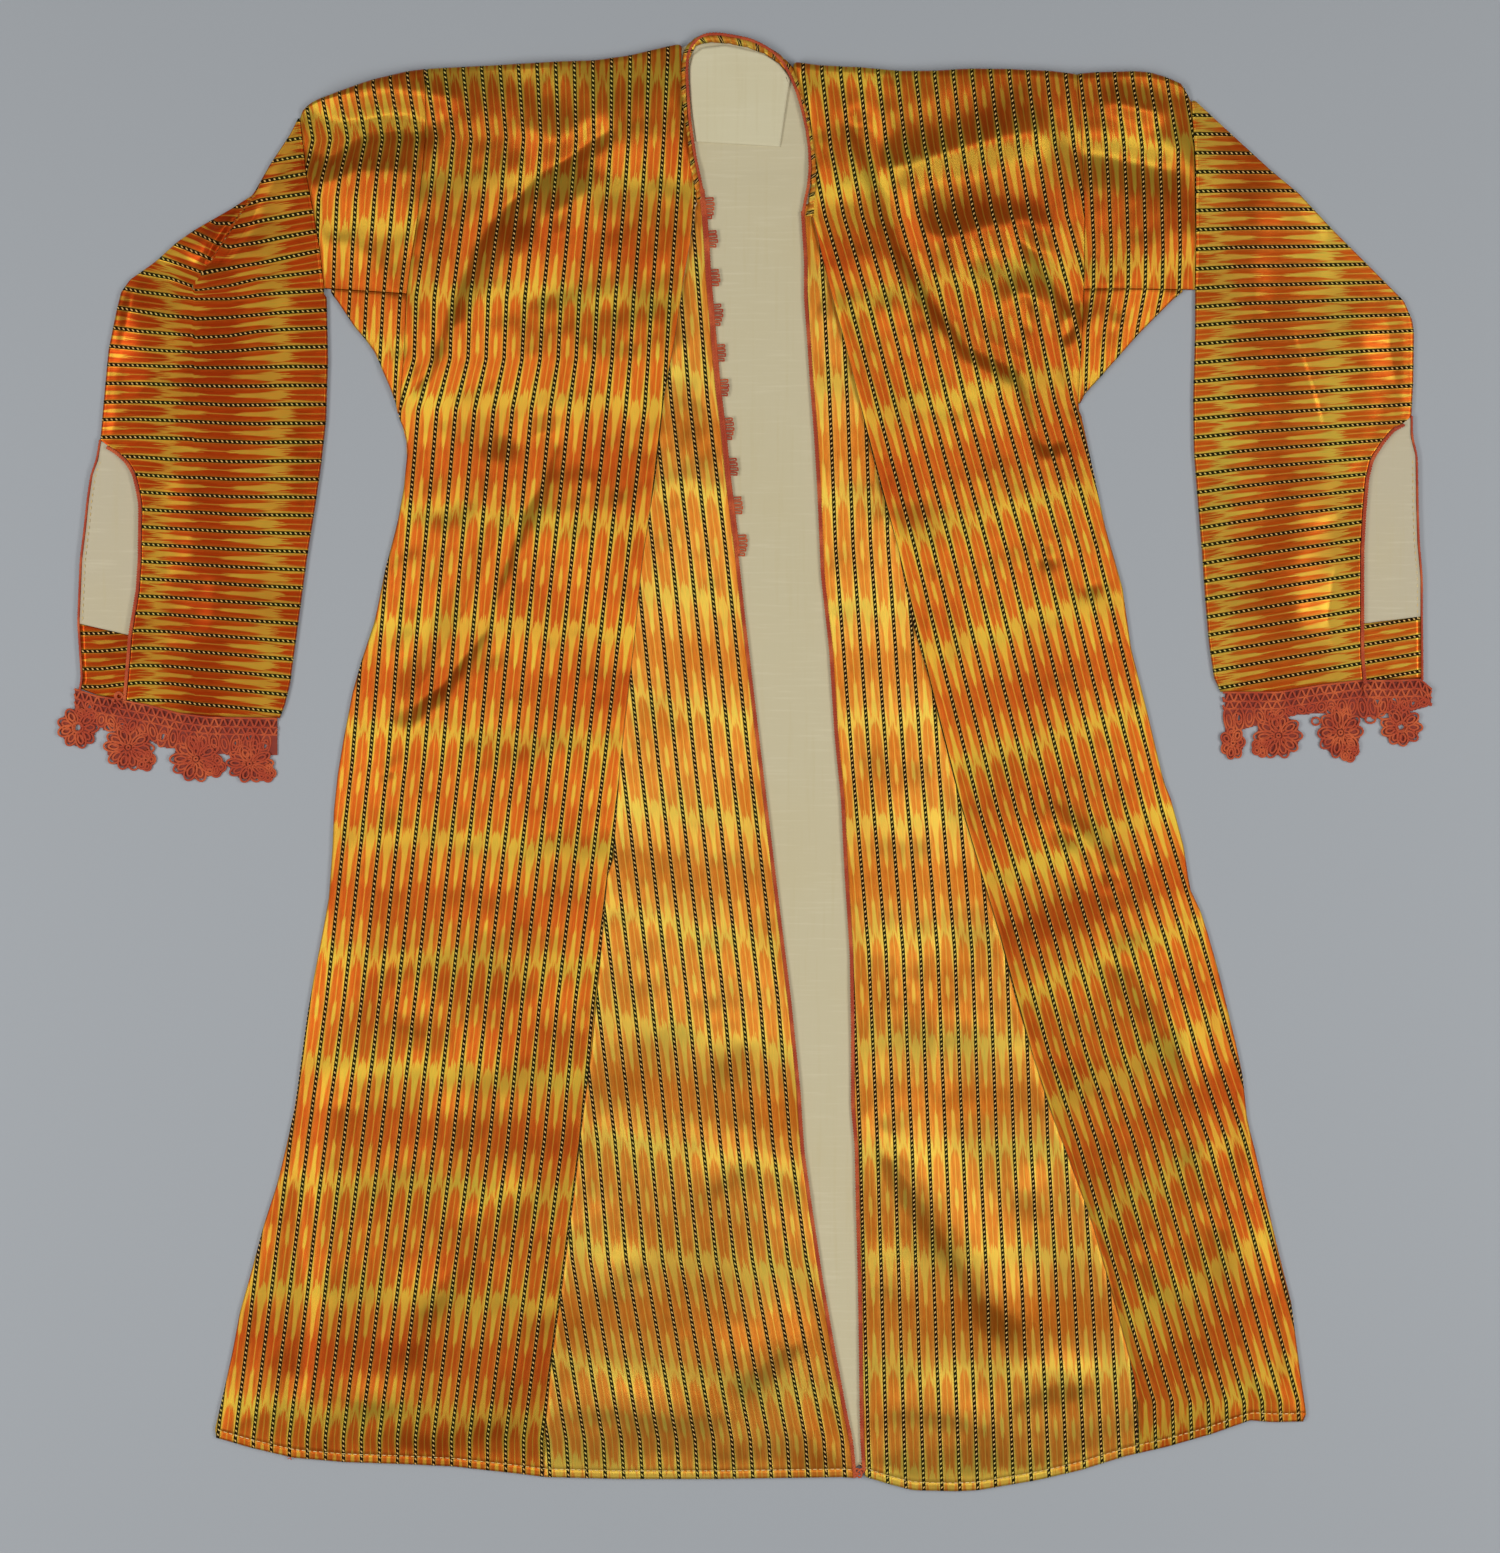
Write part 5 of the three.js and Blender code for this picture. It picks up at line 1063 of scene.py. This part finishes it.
# %% Linings
def flat_piece(name, low, high, left, right, top, finish, node, across=24, up=60, G=None, crease=None):
    """A piece that lies flat between a lower and an upper edge and two side edges, with low creases."""
    share, level = np.linspace(0, 1, across), np.linspace(0, 1, up)[:, None]
    start = np.mean(low(left(np.zeros(1))))
    foot = fit(low, left, right, share, start, 12)
    head = fit(high, left, right, share, start, 12)
    y = foot + level * (head - foot)
    x = between_edges(left, right, share, y)
    z = np.full_like(x, top) + (crease(x, y) if crease else 0)
    flat_grain = G(x, y) if G else np.stack([x / CORD_PITCH, y / REPEAT], -1)
    piece = cloth(name, [(np.stack([x, y, z], -1), flat_grain, False)], finish, 0.7)
    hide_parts(node)
    return piece


PULLS = [(490, 0.5, 4), (474, -0.5, 5), (446, 0.3, 9), (130, 0.3, 12), (-348, -0.5, 2), (-516, -0.5, 2)]


def lining_creases(x, y):
    """Faint pulls across the cotton, as pressed folds leave: bell curves at their heights, and two sines."""
    pulls = sum(high * np.exp(-(((y - at - 0.03 * x) / wide) ** 2)) for at, high, wide in PULLS)
    return pulls + 0.18 * np.sin(x / 11 + 1.4 * np.sin(y / 70)) + 0.16 * np.sin(y / 23 + np.sin(x / 31))


def lining_edge(side):
    """The lining's side edge, 14 mm inside the coat's own."""
    seam_foot = table(side, "shoulder_seam")[0][0]
    edge = lambda y: np.where(y > seam_foot, on(side, "shoulder_seam", y), on(side, "side", y))
    return lambda y: edge(y) - sign(side) * 14


PATCH_TOP = [(-41, 565.5), (-34, 571), (-16, 573), (-4, 571), (6, 568.5), (15, 565.5), (24, 561), (32, 553),
    (37, 546)]
lining = flat_piece(
    "back_cotton",
    lambda x: np.maximum(on("right", "hem", x), np.where(x > 90, on("left", "hem", x), -999)) + 9,
    lambda x: np.interp(x, TOP_X, TOP_Y), lining_edge("right"), lining_edge("left"), LINING_TOP, COTTON,
    "back_lining", 150, 240, crease=lining_creases)
patch = flat_piece(
    "yoke_patch_cotton",
    lambda x: np.interp(x, [-36, 28], [496, 492]),
    lambda x: np.interp(x, *np.array(PATCH_TOP).T),
    lambda y: np.interp(y, [494, 514, 530, 545, 556, 566], [-38.5, -41.2, -43.3, -44.2, -43.8, -41]),
    lambda y: np.interp(y, [492, 535, 546, 556, 562, 568], [28, 34, 36, 29, 22, 12]),
    ON_LINING + LINING, PATCH_COTTON, "neck_yoke_patch", 40, 40,
    crease=lambda x, y: 0.2 * np.sin(x / 8 + y / 25))


def vent_piece(side, kind):
    """What the vent shows of the sleeve's inside: lining above, and the ikat facing along the cuff. Both run
    46 mm in under the upper layer."""
    way = sign(side)
    hidden = lambda y: on(side, "vent_edge", y) - way * 46
    shown = lambda y: on(side, "sleeve_back", y) - way * 1.2
    vent_top = table(side, "vent_edge")[0][-1]
    if kind == "lining":
        return flat_piece(f"{side}_sleeve_cotton", lambda x: on(side, "facing_top", x) + SEAM,
            lambda x: np.full_like(x, vent_top - 1.5), hidden, shown, LINING_TOP, SLEEVE_COTTON,
            f"{side}_sleeve_lining", crease=lambda x, y: 0.3 * np.sin(x / 7 + np.sin(y / 40)))
    return flat_piece(f"{side}_facing_silk", lambda x: on(side, "cuff", x) + 1.2,
        lambda x: on(side, "facing_top", x), hidden, shown, LINING_TOP + 0.2, SLEEVE_SILK[side],
        f"{side}_cuff_facing", G=lambda x, y: sleeve_grain(side, x, y),
        crease=lambda x, y: 0.3 * np.sin(x / 6 + y / 20))


sleeve_linings = {side: vent_piece(side, "lining") for side in CUT}
facings = {side: vent_piece(side, "facing") for side in CUT}

# %% [markdown]
# ## Crocheted cotton thread
#
# The edges, the button loops and the cuff lace are crocheted from one coral cotton thread. A curve with a
# bevel would make a round thread too, but it stays a curve. So a circle is carried along each path as an
# array, and all the threads of one piece of work are joined in one mesh.


# %% Thread material
def crochet(name, tone, light):
    """Mercerised crochet cotton, spun and dyed: nearly matt, faded in patches of about 17 mm, with fibres as
    relief and a little fluff at its edges."""
    made, tree, shader = material(name)
    place = add(tree, "TexCoord", out="Object")
    faded = add(tree, "TexNoise", inputs={"Vector": place, "Scale": 60, "Detail": 3})
    fibre = add(tree, "TexNoise", inputs={"Vector": place, "Scale": 1600, "Detail": 2})
    share = add(tree, "MapRange", faded, 0.4, 0.7, **SOFT_STEP)
    colour = add(tree, "Mix", inputs={0: share, 6: linear(tone), 7: linear(light)}, **COLOURS)
    bump = add(tree, "Bump", inputs={"Height": fibre, "Distance": 0.0003, "Strength": 0.6})
    tree.links.new(colour, shader.inputs["Base Color"])
    tree.links.new(bump, shader.inputs["Normal"])
    shader.inputs["Roughness"].default_value = 0.75
    shader.inputs["Sheen Weight"].default_value = 0.08
    return made


CORAL = crochet("crocheted_cotton_thread", "#A83810", "#C65A26")
# the same thread in a darker coral, as painted shade for the lace that lies behind the front threads
CORAL_SHADED_BACK = crochet("crocheted_cotton_behind_painted_shade", "#7A220A", "#8C3012")
PALE_THREAD = crochet("sewing_thread_yellow", "#E2C070", "#EED79A")
print("thread materials:", [finish.name for finish in (CORAL, CORAL_SHADED_BACK, PALE_THREAD)])


# %% Threads
def run_along(line):
    """Distance run along a line at each of its points."""
    return np.concatenate([[0], np.cumsum(np.linalg.norm(np.diff(line, axis=0), axis=1))])


def route(points, pitch, round_over=0):
    """Even steps along a line through points; round_over averages each with that many on both sides."""
    points = np.array(points, float)
    far = run_along(points)
    at = np.linspace(0, far[-1], max(4, int(far[-1] / pitch)))
    line = np.stack([np.interp(at, far, points[:, k]) for k in range(points.shape[1])], -1)
    if round_over:
        padded = np.pad(line, ((round_over, round_over), (0, 0)), mode="reflect", reflect_type="odd")
        window = np.ones(2 * round_over + 1) / (2 * round_over + 1)
        line = np.stack([np.convolve(padded[:, k], window, "valid") for k in range(line.shape[1])], -1)
    return line


def square_to(path):
    """At each point of a path: the level direction across it, and the one above, both of length 1."""
    ahead = np.gradient(path, axis=0)
    ahead = ahead / np.linalg.norm(ahead, axis=1)[:, None]
    aside = np.stack([-ahead[:, 1], ahead[:, 0], np.zeros(len(path))], -1)
    aside = aside / np.maximum(np.linalg.norm(aside, axis=1), 1e-6)[:, None]
    return aside, np.cross(ahead, aside)


def threads(name, paths, radius, finish=None, sides=6):
    """Each path becomes a tube: a circle of the radius square to the path at every point, closed at its two
    ends by a face."""
    turn = np.arange(sides) * 2 * np.pi / sides
    points, faces, start = [], [], 0
    for path in paths:
        path = np.asarray(path, float)
        aside, above = square_to(path)
        ring = np.cos(turn)[:, None] * aside[:, None] + np.sin(turn)[:, None] * above[:, None]
        points.append((path[:, None] + radius * ring).reshape(-1, 3))
        index = start + np.arange(len(path) * sides).reshape(-1, sides)
        beside = np.roll(index, -1, axis=1)
        quads = np.stack([index[:-1], beside[:-1], beside[1:], index[1:]], -1).reshape(-1, 4)
        faces += quads.tolist() + [index[0][::-1].tolist(), index[-1].tolist()]
        start += len(path) * sides
    piece = make_piece(name, np.concatenate(points), faces, finish or CORAL)
    print(name, len(paths), "threads,", len(faces), "faces")
    return piece


def twisted(path, pitch, wide, high, ply=2):
    """Strands wound round a path: each stands off it by wide across and high up, and turns once a pitch."""
    aside, above = square_to(path)
    far = run_along(path)
    strands = []
    for k in range(ply):
        turn = 2 * np.pi * (far / pitch + k / ply)
        strands.append(path + wide * np.cos(turn)[:, None] * aside + high * np.sin(turn)[:, None] * above)
    return strands


def raised(line, z):
    """A line's x and y, with z as its height."""
    return np.column_stack([line[:, :2], np.broadcast_to(z, len(line))])


def hoop(x, y, wide, tall, z, count):
    """An ellipse round x, y at the height z: the cosine of its turn across and the sine up."""
    turn = np.linspace(0, 2 * np.pi, count)
    return np.column_stack([x + wide * np.cos(turn), y + tall * np.sin(turn), np.full_like(turn, z)])


print("a hoop of 10 mm runs", round(run_along(hoop(0, 0, 5, 5, 0, 40))[-1], 1), "mm")

# %% [markdown]
# ## Edge braids
#
# A narrow crocheted braid runs down both front edges and round both vents. Real stitches could be modelled
# one by one, but at 4 mm wide they show only as small slants. Threads wound round the edge's own line give
# the same slants with a tenth of the faces.


# %% Edge braids
def beside_edge(side, name, out):
    """An edge's line moved out from it, square to the line."""
    line = raised(route(edge_points(side, name), 1.0, 6), 0)
    aside, _ = square_to(line)
    return line + out * aside


BRAID_Z = ON_LINING + 1.3
edge_threads = {}
for side in CUT:
    line = raised(beside_edge(side, "front_edge", -sign(side) * 2.1), BRAID_Z)
    edge_threads[side] = twisted(line, 4.6, 1.0, 0.55)
LOOPS_FOOT, LOOPS_TOP = 166, 458  # a second row of stitches carries the button loops
base = beside_edge("right", "front_edge", 0.2)
base = raised(base[(base[:, 1] > LOOPS_FOOT) & (base[:, 1] < LOOPS_TOP)], BRAID_Z - 0.2)
edge_threads["right"] += twisted(base, 3.4, 0.7, 0.4)
front_braids, vent_braids = {}, {}
for side in CUT:
    front_braids[side] = threads(f"{side}_front_braid_thread", edge_threads[side], 0.85)
for side in CUT:
    line = raised(route(edge_points(side, "vent_edge")[:-1], 1.0, 4), 0)
    aside, _ = square_to(line)
    outwards = np.sign(aside[len(line) // 2, 0]) * sign(side)
    vent = raised(line + 1.3 * outwards * aside, BRAID_Z + 0.3)
    back = raised(route(edge_points(side, "sleeve_back"), 1.4, 4), 2.0)
    strands = twisted(vent, 4.2, 0.95, 0.5) + twisted(back, 4.0, 0.4, 0.4)
    vent_braids[side] = threads(f"{side}_vent_braid_thread", strands, 0.8)
    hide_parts(f"{side}_vent_braid")
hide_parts("left_front_braid")

# %% [markdown]
# ## Button loops
#
# Ten little fans of loops stand on the right front edge. A fan is one thread that goes out and back four or
# five times. It could be one plate with a lace texture, but the lining has to show between the threads, so
# each loop is a thread of its own, with flat sides and a round tip.

# %% Button loops
LOOP_ROWS = [444, 418, 387, 359, 327, 299, 268, 236, 205, 175]
rng = np.random.default_rng(5)
fans = []
for row, y in enumerate(LOOP_ROWS):
    for k in range(4 if row % 3 else 5):
        reach = (7.6 - 0.9 * abs(k - 1.6)) * rng.uniform(0.92, 1.06)
        middle = 5.4 - 3.4 * k + rng.uniform(-0.25, 0.25)
        t = np.linspace(0, 1, 26)
        out = -0.6 + (reach + 0.6) * np.clip(1.25 * np.sin(np.pi * t), 0, 1)
        up = 1.05 * np.clip(1.5 * np.cos(np.pi * t), -1, 1)
        lean = 0.05 * (k - 1.6) * out
        x = on("right", "front_edge", y) + out
        z = ON_LINING + 0.9 + 0.9 * np.sin(np.pi * out / 9)
        fans.append(np.column_stack([x, y + middle + up - lean, z]))
loops = threads("button_loops", fans, 0.6)
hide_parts("right_front_braid")

# %% [markdown]
# ## Neck binding
#
# A narrow strip cut across the ikat is folded over the neck edge, so its cords cross it every 15 mm as short
# dark bars, and each pinches it a little. A bevelled curve would be round and even. Here the strip is a grid
# along the neck line whose cross-section is half an ellipse, lower at each pinch. A twisted coral cord runs
# along the edge itself.

# %% Neck binding
BINDING_LINE = [(-36, 450), (-37, 458), (-40, 470), (-43.5, 484), (-46.5, 504), (-48.8, 520), (-49.6, 536),
    (-49.2, 548), (-48, 560), (-45, 570), (-40, 576), (-34, 578), (-26, 578.6), (-16, 578), (-4, 576),
    (7, 573), (17, 569), (26, 563.5), (34, 556), (40, 547), (45, 535), (48.5, 521), (51.5, 505), (54, 490),
    (55.6, 474), (55.5, 460), (53.5, 447), (51, 436)]
NECK_CORD = [(-32.5, 447), (-34, 456), (-36, 466), (-39.5, 482), (-42, 498), (-44.2, 514), (-45.2, 530),
    (-46.2, 545), (-46.5, 556), (-45.5, 566), (-42, 574), (-36, 579.5), (-30, 581.8), (-20, 582), (-8, 580),
    (4, 577.5), (13, 573.5), (22, 568), (30, 560), (36.2, 549), (42, 535), (46.5, 519), (50, 503),
    (51.6, 489), (52, 475), (50.8, 461), (48, 448), (46, 436)]
line = raised(route(BINDING_LINE, 0.9, 5), 0)
aside, _ = square_to(line)
far = run_along(line)
share = np.linspace(-1, 1, 15)
pinch = 1 - 0.18 * np.exp(-(((far % 15 - 7.5) / 1.8) ** 2))
across = 3.3 * pinch[:, None] * share
strip = line[:, None] + across[..., None] * aside[:, None]
strip[..., 2] = ON_LINING + 0.2 + 2.1 * pinch[:, None] * np.sqrt(1 - share**2)
strip_grain = np.stack([np.broadcast_to(far[:, None] / 15 + 0.12 * share, strip.shape[:2]),
    far[:, None] / 96 + share * 0.03 + 0.2], -1)
binding = cloth("neck_binding_silk", [(strip, strip_grain, False)], GORE_SILK, 0.5)
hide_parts("neck_binding")
neck_cord = threads("neck_cord", twisted(raised(route(NECK_CORD, 0.9, 4), ON_LINING + 1.9), 5, 0.6, 0.5), 0.8)

# %% [markdown]
# ## Cuff lace
#
# Under each cuff hangs a band of three straight threads with zigzags between them, then flowers of nine or
# ten looped petals, an outer loop and an inner one each. A flat sheet with holes would look printed, so the
# threads are modelled. A thin net behind them stands for the lace on the back of the cuff. Its coral is
# darker than the thread's as painted shade, so that it shows dark between the threads.

# %% Lace tables
# "flowers" and "tails" hold x, y, half width, half height, petals and the radius of the open eye; "holes"
# hold x, y, half width and half height
LACE_CUT = {
    "right": {
        "top": [(-536, 58.4), (-520, 53), (-497, 49), (-476, 45), (-452, 38.5), (-428, 35.5), (-374, 34.6)],
        "foot": [(-538, 36), (-520, 34), (-513, 26), (-480, 20), (-466, 12), (-440, 10), (-400, 4),
            (-373.6, 6)],
        "flowers": [(-533.4, 28, 17, 17.5, 9, 3), (-493, 12, 21, 19, 10, 0), (-439, 3, 21.5, 19.5, 10, 0),
            (-396, -1, 20, 15.5, 10, 0)],
        "tails": [(-479, 2, 8, 9, 5, 0), (-424, -3, 9, 9, 5, 0), (-383, -8, 8, 8, 5, 0)],
        "holes": [(-524, 46, 2.4, 2.4), (-521, 38, 2.4, 2.1), (-508, 28.4, 3, 2.1), (-498, 29, 3.6, 2.3),
            (-465.6, 20.4, 3.8, 2.3), (-396, 20.4, 2.6, 2.6), (-385.6, 13, 3.6, 2.1),
            (-405.6, 15.6, 2.6, 2.1)],
    },
    "left": {
        "top": [(382, 55.6), (426, 55.6), (462, 61.5), (491, 65), (521, 65), (540, 66), (549, 58)],
        "foot": [(384, 22), (410, 30), (440, 38), (470, 40), (500, 34), (512, 37), (530, 40), (549, 46)],
        "flowers": [(390, 15.5, 10.5, 13.5, 7, 0), (426.4, 21.5, 20.5, 19, 10, 0), (476, 24, 19, 22, 10, 0),
            (524.8, 28.5, 17.5, 16, 9, 3)],
        "tails": [(413, 12, 8, 8, 5, 0), (483, 9, 8, 9, 5, 0)],
        "holes": [(533, 46.5, 6.4, 2.3), (512, 37.5, 5, 2.1), (520.5, 49.5, 2.6, 2.8), (505.5, 48, 2.4, 2.4),
            (500, 34.5, 3.2, 2.1), (468, 41.5, 2.6, 2.6), (456.5, 33, 2.4, 2.1), (422, 38, 3.2, 2.4),
            (393.5, 36, 2.6, 2.8)],
    },
}
print("flowers:", {side: len(cut["flowers"]) for side, cut in LACE_CUT.items()})


# %% Cuff lace
def petals(x, y, wide, tall, count, eye, z, rng):
    """Loops round a middle: each is an ellipse whose long axis points outwards, once large and once half."""
    made = []
    t = np.linspace(0, 1, 26)
    for k in range(count):
        turn = 2 * np.pi * (k + rng.uniform(-0.12, 0.12)) / count
        long, lift = rng.uniform(0.93, 1.04), 0.55 * (k % 2)
        for size, rise in ((1.0, 0), (0.5, 0.25)):
            out = 0.56 + 0.40 * size * -np.cos(2 * np.pi * t) * long
            off = 1.15 * np.sin(np.pi / count) * 0.62 * size * np.sin(2 * np.pi * t)
            px = x + wide * (out * np.cos(turn) - off * np.sin(turn))
            py = y + tall * (out * np.sin(turn) + off * np.cos(turn))
            made.append(np.column_stack([px, py, np.full_like(px, z + lift + rise)]))
    size = eye + 1.2 if eye else 1.5
    return made + [hoop(x, y, size, size, z + 1.0, 20)]


def lace_threads(side):
    """The heading's straight threads and zigzags (a sine that drifts a little), hanging double loops down to
    the foot, then the flowers, the tails below them and a thread round each hole."""
    cut = LACE_CUT[side]
    rng = np.random.default_rng(11)
    top = route(cut["top"], 0.5, 6)
    made = []
    for drop, z in ((-0.3, 2.0), (6.6, 1.3), (12.6, 1.1)):
        made.append(raised(route(top - [0, drop], 1.2), z))
    far = np.arange(len(top)) * 0.5
    for low, high, pitch, z in ((0.4, 6.2, 7.2, 2.0), (7.0, 12.2, 7.6, 1.6)):
        wave = 0.5 + 0.5 * np.sin(2 * np.pi * far / pitch + 0.6 * np.sin(far / 23))
        made.append(raised(np.column_stack([top[:, 0], top[:, 1] - low - (high - low) * wave]), z))
    around = np.linspace(0, 2 * np.pi, 26)
    for k, x in enumerate(np.arange(top[0, 0] + 5, top[-1, 0] - 3, 8.2)):
        head = np.interp(x, top[:, 0], top[:, 1]) - 12.4
        foot = np.interp(x, *np.array(cut["foot"]).T) + 0.8
        tall, lean = max(2.2, (head - foot) / 2), rng.uniform(-2.2, 2.2)
        for size in (1.0, 0.5):
            up = tall * size * np.cos(around)
            made.append(np.column_stack([x + lean * up / tall + 3.7 * size * np.sin(around),
                (head + foot) / 2 + up, np.full_like(around, 0.9 + 0.5 * (k % 2))]))
    for kind, z in (("flowers", 1.1), ("tails", 0.8)):
        for flower in cut[kind]:
            made += petals(*flower, z, rng)
    made += [hoop(x, y, wide + 0.9, tall + 0.9, 1.5, 22) for x, y, wide, tall in cut["holes"]]
    lace = threads(f"{side}_cuff_lace_threads", made, 0.86)
    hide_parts(f"{side}_cuff_lace")
    return lace


def lace_net(side):
    """The net behind: squares of a level grid, kept inside the band and the flowers and outside the holes."""
    cut = LACE_CUT[side]
    first = min(cut["top"][0][0], cut["flowers"][0][0] - cut["flowers"][0][2])
    x = np.arange(min(f[0] - f[2] for f in cut["flowers"]), max(cut["top"][-1][0], 388) + 1, 0.9)
    x = x[x > first]
    X, Y = np.meshgrid(x, np.arange(-22, 68, 0.9))
    middle_x, middle_y = (X[:-1, :-1] + X[1:, 1:]) / 2, (Y[:-1, :-1] + Y[1:, 1:]) / 2
    top_y = np.interp(middle_x, *np.array(cut["top"]).T, left=-99, right=-99)
    foot_y = np.interp(middle_x, *np.array(cut["foot"]).T, left=99, right=99)
    keep = (middle_y < top_y - 0.5) & (middle_y > foot_y)
    for fx, fy, wide, tall, _, _ in cut["flowers"] + cut["tails"]:
        keep |= np.hypot((middle_x - fx) / wide, (middle_y - fy) / tall) < 0.84
    for fx, fy, _, _, _, eye in cut["flowers"]:
        keep &= np.hypot(middle_x - fx, middle_y - fy) > eye
    for hx, hy, wide, tall in cut["holes"]:
        keep &= np.hypot((middle_x - hx) / wide, (middle_y - hy) / tall) > 1
    index = np.arange(X.size).reshape(X.shape)
    quads = np.stack([index[:-1, :-1], index[:-1, 1:], index[1:, 1:], index[1:, :-1]], -1)[keep]
    used, quads = np.unique(quads, return_inverse=True)
    flat = np.column_stack([X.ravel(), Y.ravel(), np.full(X.size, 0.9)])[used]
    faces = quads.reshape(-1, 4).tolist()
    print(f"{side}_cuff_lace_shaded_net", len(faces), "faces")
    # the net's darker coral is painted shade between the threads
    return make_piece(f"{side}_cuff_lace_shaded_net", flat, faces, CORAL_SHADED_BACK, False, 0.6)


laces = {side: (lace_threads(side), lace_net(side)) for side in CUT}

# %% [markdown]
# ## Hand stitches
#
# The hem is turned and run down by hand in pale thread, 7 mm above its edge, and the vent linings are felled
# along their outer edge. A dashed line in the material would lie flat. Each stitch is a short thread that
# comes up out of the cloth and goes down again, so it catches the light.


# %% Hand stitches
def stitches(name, line, pitch, long, z, radius=0.33):
    """Short threads along a line: each rises from the cloth, runs on it and goes down again."""
    far = run_along(line)
    starts = np.arange(2, far[-1] - pitch, pitch)
    at = starts[:, None] + long * np.array([0, 0.12, 0.5, 0.88, 1.0])
    x, y = np.interp(at, far, line[:, 0]), np.interp(at, far, line[:, 1])
    height = z(x, y) + np.array([-0.5, 0.05, 0.15, 0.05, -0.5])
    return threads(name, np.stack([x, y, height], -1), radius, PALE_THREAD, 5)


lining_stitches = {}
for side in CUT:
    line = route(edge_points(side, "sleeve_back"), 1.0, 4)
    line = line[(line[:, 1] > 112) & (line[:, 1] < 246)] - [sign(side) * 3.4, 0]
    lining_stitches[side] = stitches(f"{side}_sleeve_lining_stitches", line, 5.2, 2.4,
        lambda x, y: np.full_like(x, LINING_TOP + 0.3), 0.26)
hem_stitches = {}
for side in CUT:
    line = route(edge_points(side, "hem"), 1.0, 8) + [0, 7]
    hem_stitches[side] = stitches(f"{side}_hem_stitches", line, 4.6, 2.6,
        lambda x, y: upper_top(side, x, y) - 0.35)

# %% [markdown]
# ## Thread ends
#
# The braid ends in a knot at the foot of the opening and in a curl of thread at the foot of each vent, and a
# tuft of the same thread hangs from the hem. Such ends could be left out, but hand work is known by them.
# Each is a thread on a simple curve: a trefoil for the knot, an opening spiral for a curl.


# %% Thread ends
def curl(x, y, z, turns, size, tail, seed):
    """A loose end: a circle that opens as it turns, then runs off straight by the tail."""
    t = np.linspace(0, 1, 40)
    turn = 2 * np.pi * turns * t + seed
    radius = size * (0.5 + 0.5 * t)
    loop = np.column_stack([x + radius * np.cos(turn), y + radius * np.sin(turn), z + 0.7 * np.sin(3 * turn)])
    end = loop[-1] + np.linspace(0.15, 1, 8)[:, None] * np.array([*tail, -0.6])
    return np.concatenate([loop, end])


t = np.linspace(0, 2 * np.pi, 60)
KNOT_X, KNOT_Y, KNOT_SIZE = 91.4, -567, 1.3
knot = np.column_stack([KNOT_X + KNOT_SIZE * (np.sin(t) + 2 * np.sin(2 * t)),
    KNOT_Y + KNOT_SIZE * (np.cos(t) - 2 * np.cos(2 * t)), ON_LINING + 1.6 - 0.9 * np.sin(3 * t)])
# how far each thread of the tuft runs, out and down
TUFT = [(-3.4, 1.6), (-2.0, 3.4), (0.4, 4.0), (2.6, 2.6), (3.4, 0.8)]
tuft = [np.column_stack([-363 + dx * t[:20] / 2 + 0.8 * np.sin(t[:20] * 3 + dx), -553.4 - dy * t[:20] / 2,
    2.2 + 0.5 * np.sin(t[:20] * 2)]) for dx, dy in TUFT]
front_end = threads("front_foot_knot", [knot], 0.8)
hem_tuft = threads("hem_thread_tuft", tuft, 0.32)
vent_ends = {
    "right": threads("right_vent_thread_end", [curl(-500, 53, ON_LINING + 2.2, 1.6, 3.4, (5, -6), 0.4),
        curl(-503, 49, ON_LINING + 2, 1.2, 2.4, (-3, -6), 2.2)], 0.75),
    "left": threads("left_vent_thread_end", [curl(497, 60, ON_LINING + 2.2, 1.4, 2.6, (2, -7), 0.9)], 0.75),
}

# %% [markdown]
# ## What lies on each panel
#
# Cloth can't stretch much, and most of the cuts taper. A body length or a shoulder piece is one strip from
# the front hem or the underarm over the shoulder and down the back. Stitches, braids, loops, lace, cords and
# thread ends are sewn onto the panels, so each panel that carries such work is listed with the pieces that
# lie on it.

# %% What lies on each panel
# each panel, and the threads and small pieces that lie on it
WITH = {bodies[side]: [hem_stitches[side]] for side in CUT}
WITH[bodies["right"]].append(hem_tuft)
WITH |= {sleeve_linings[side]: [lining_stitches[side]] for side in CUT}
WITH |= {gores[side]: [front_braids[side]] for side in CUT}
WITH[gores["right"]].append(loops)
WITH[gores["left"]].append(front_end)
WITH |= {sleeves[side]: [vent_braids[side], vent_ends[side], *laces[side]] for side in CUT}
WITH[binding] = [neck_cord]
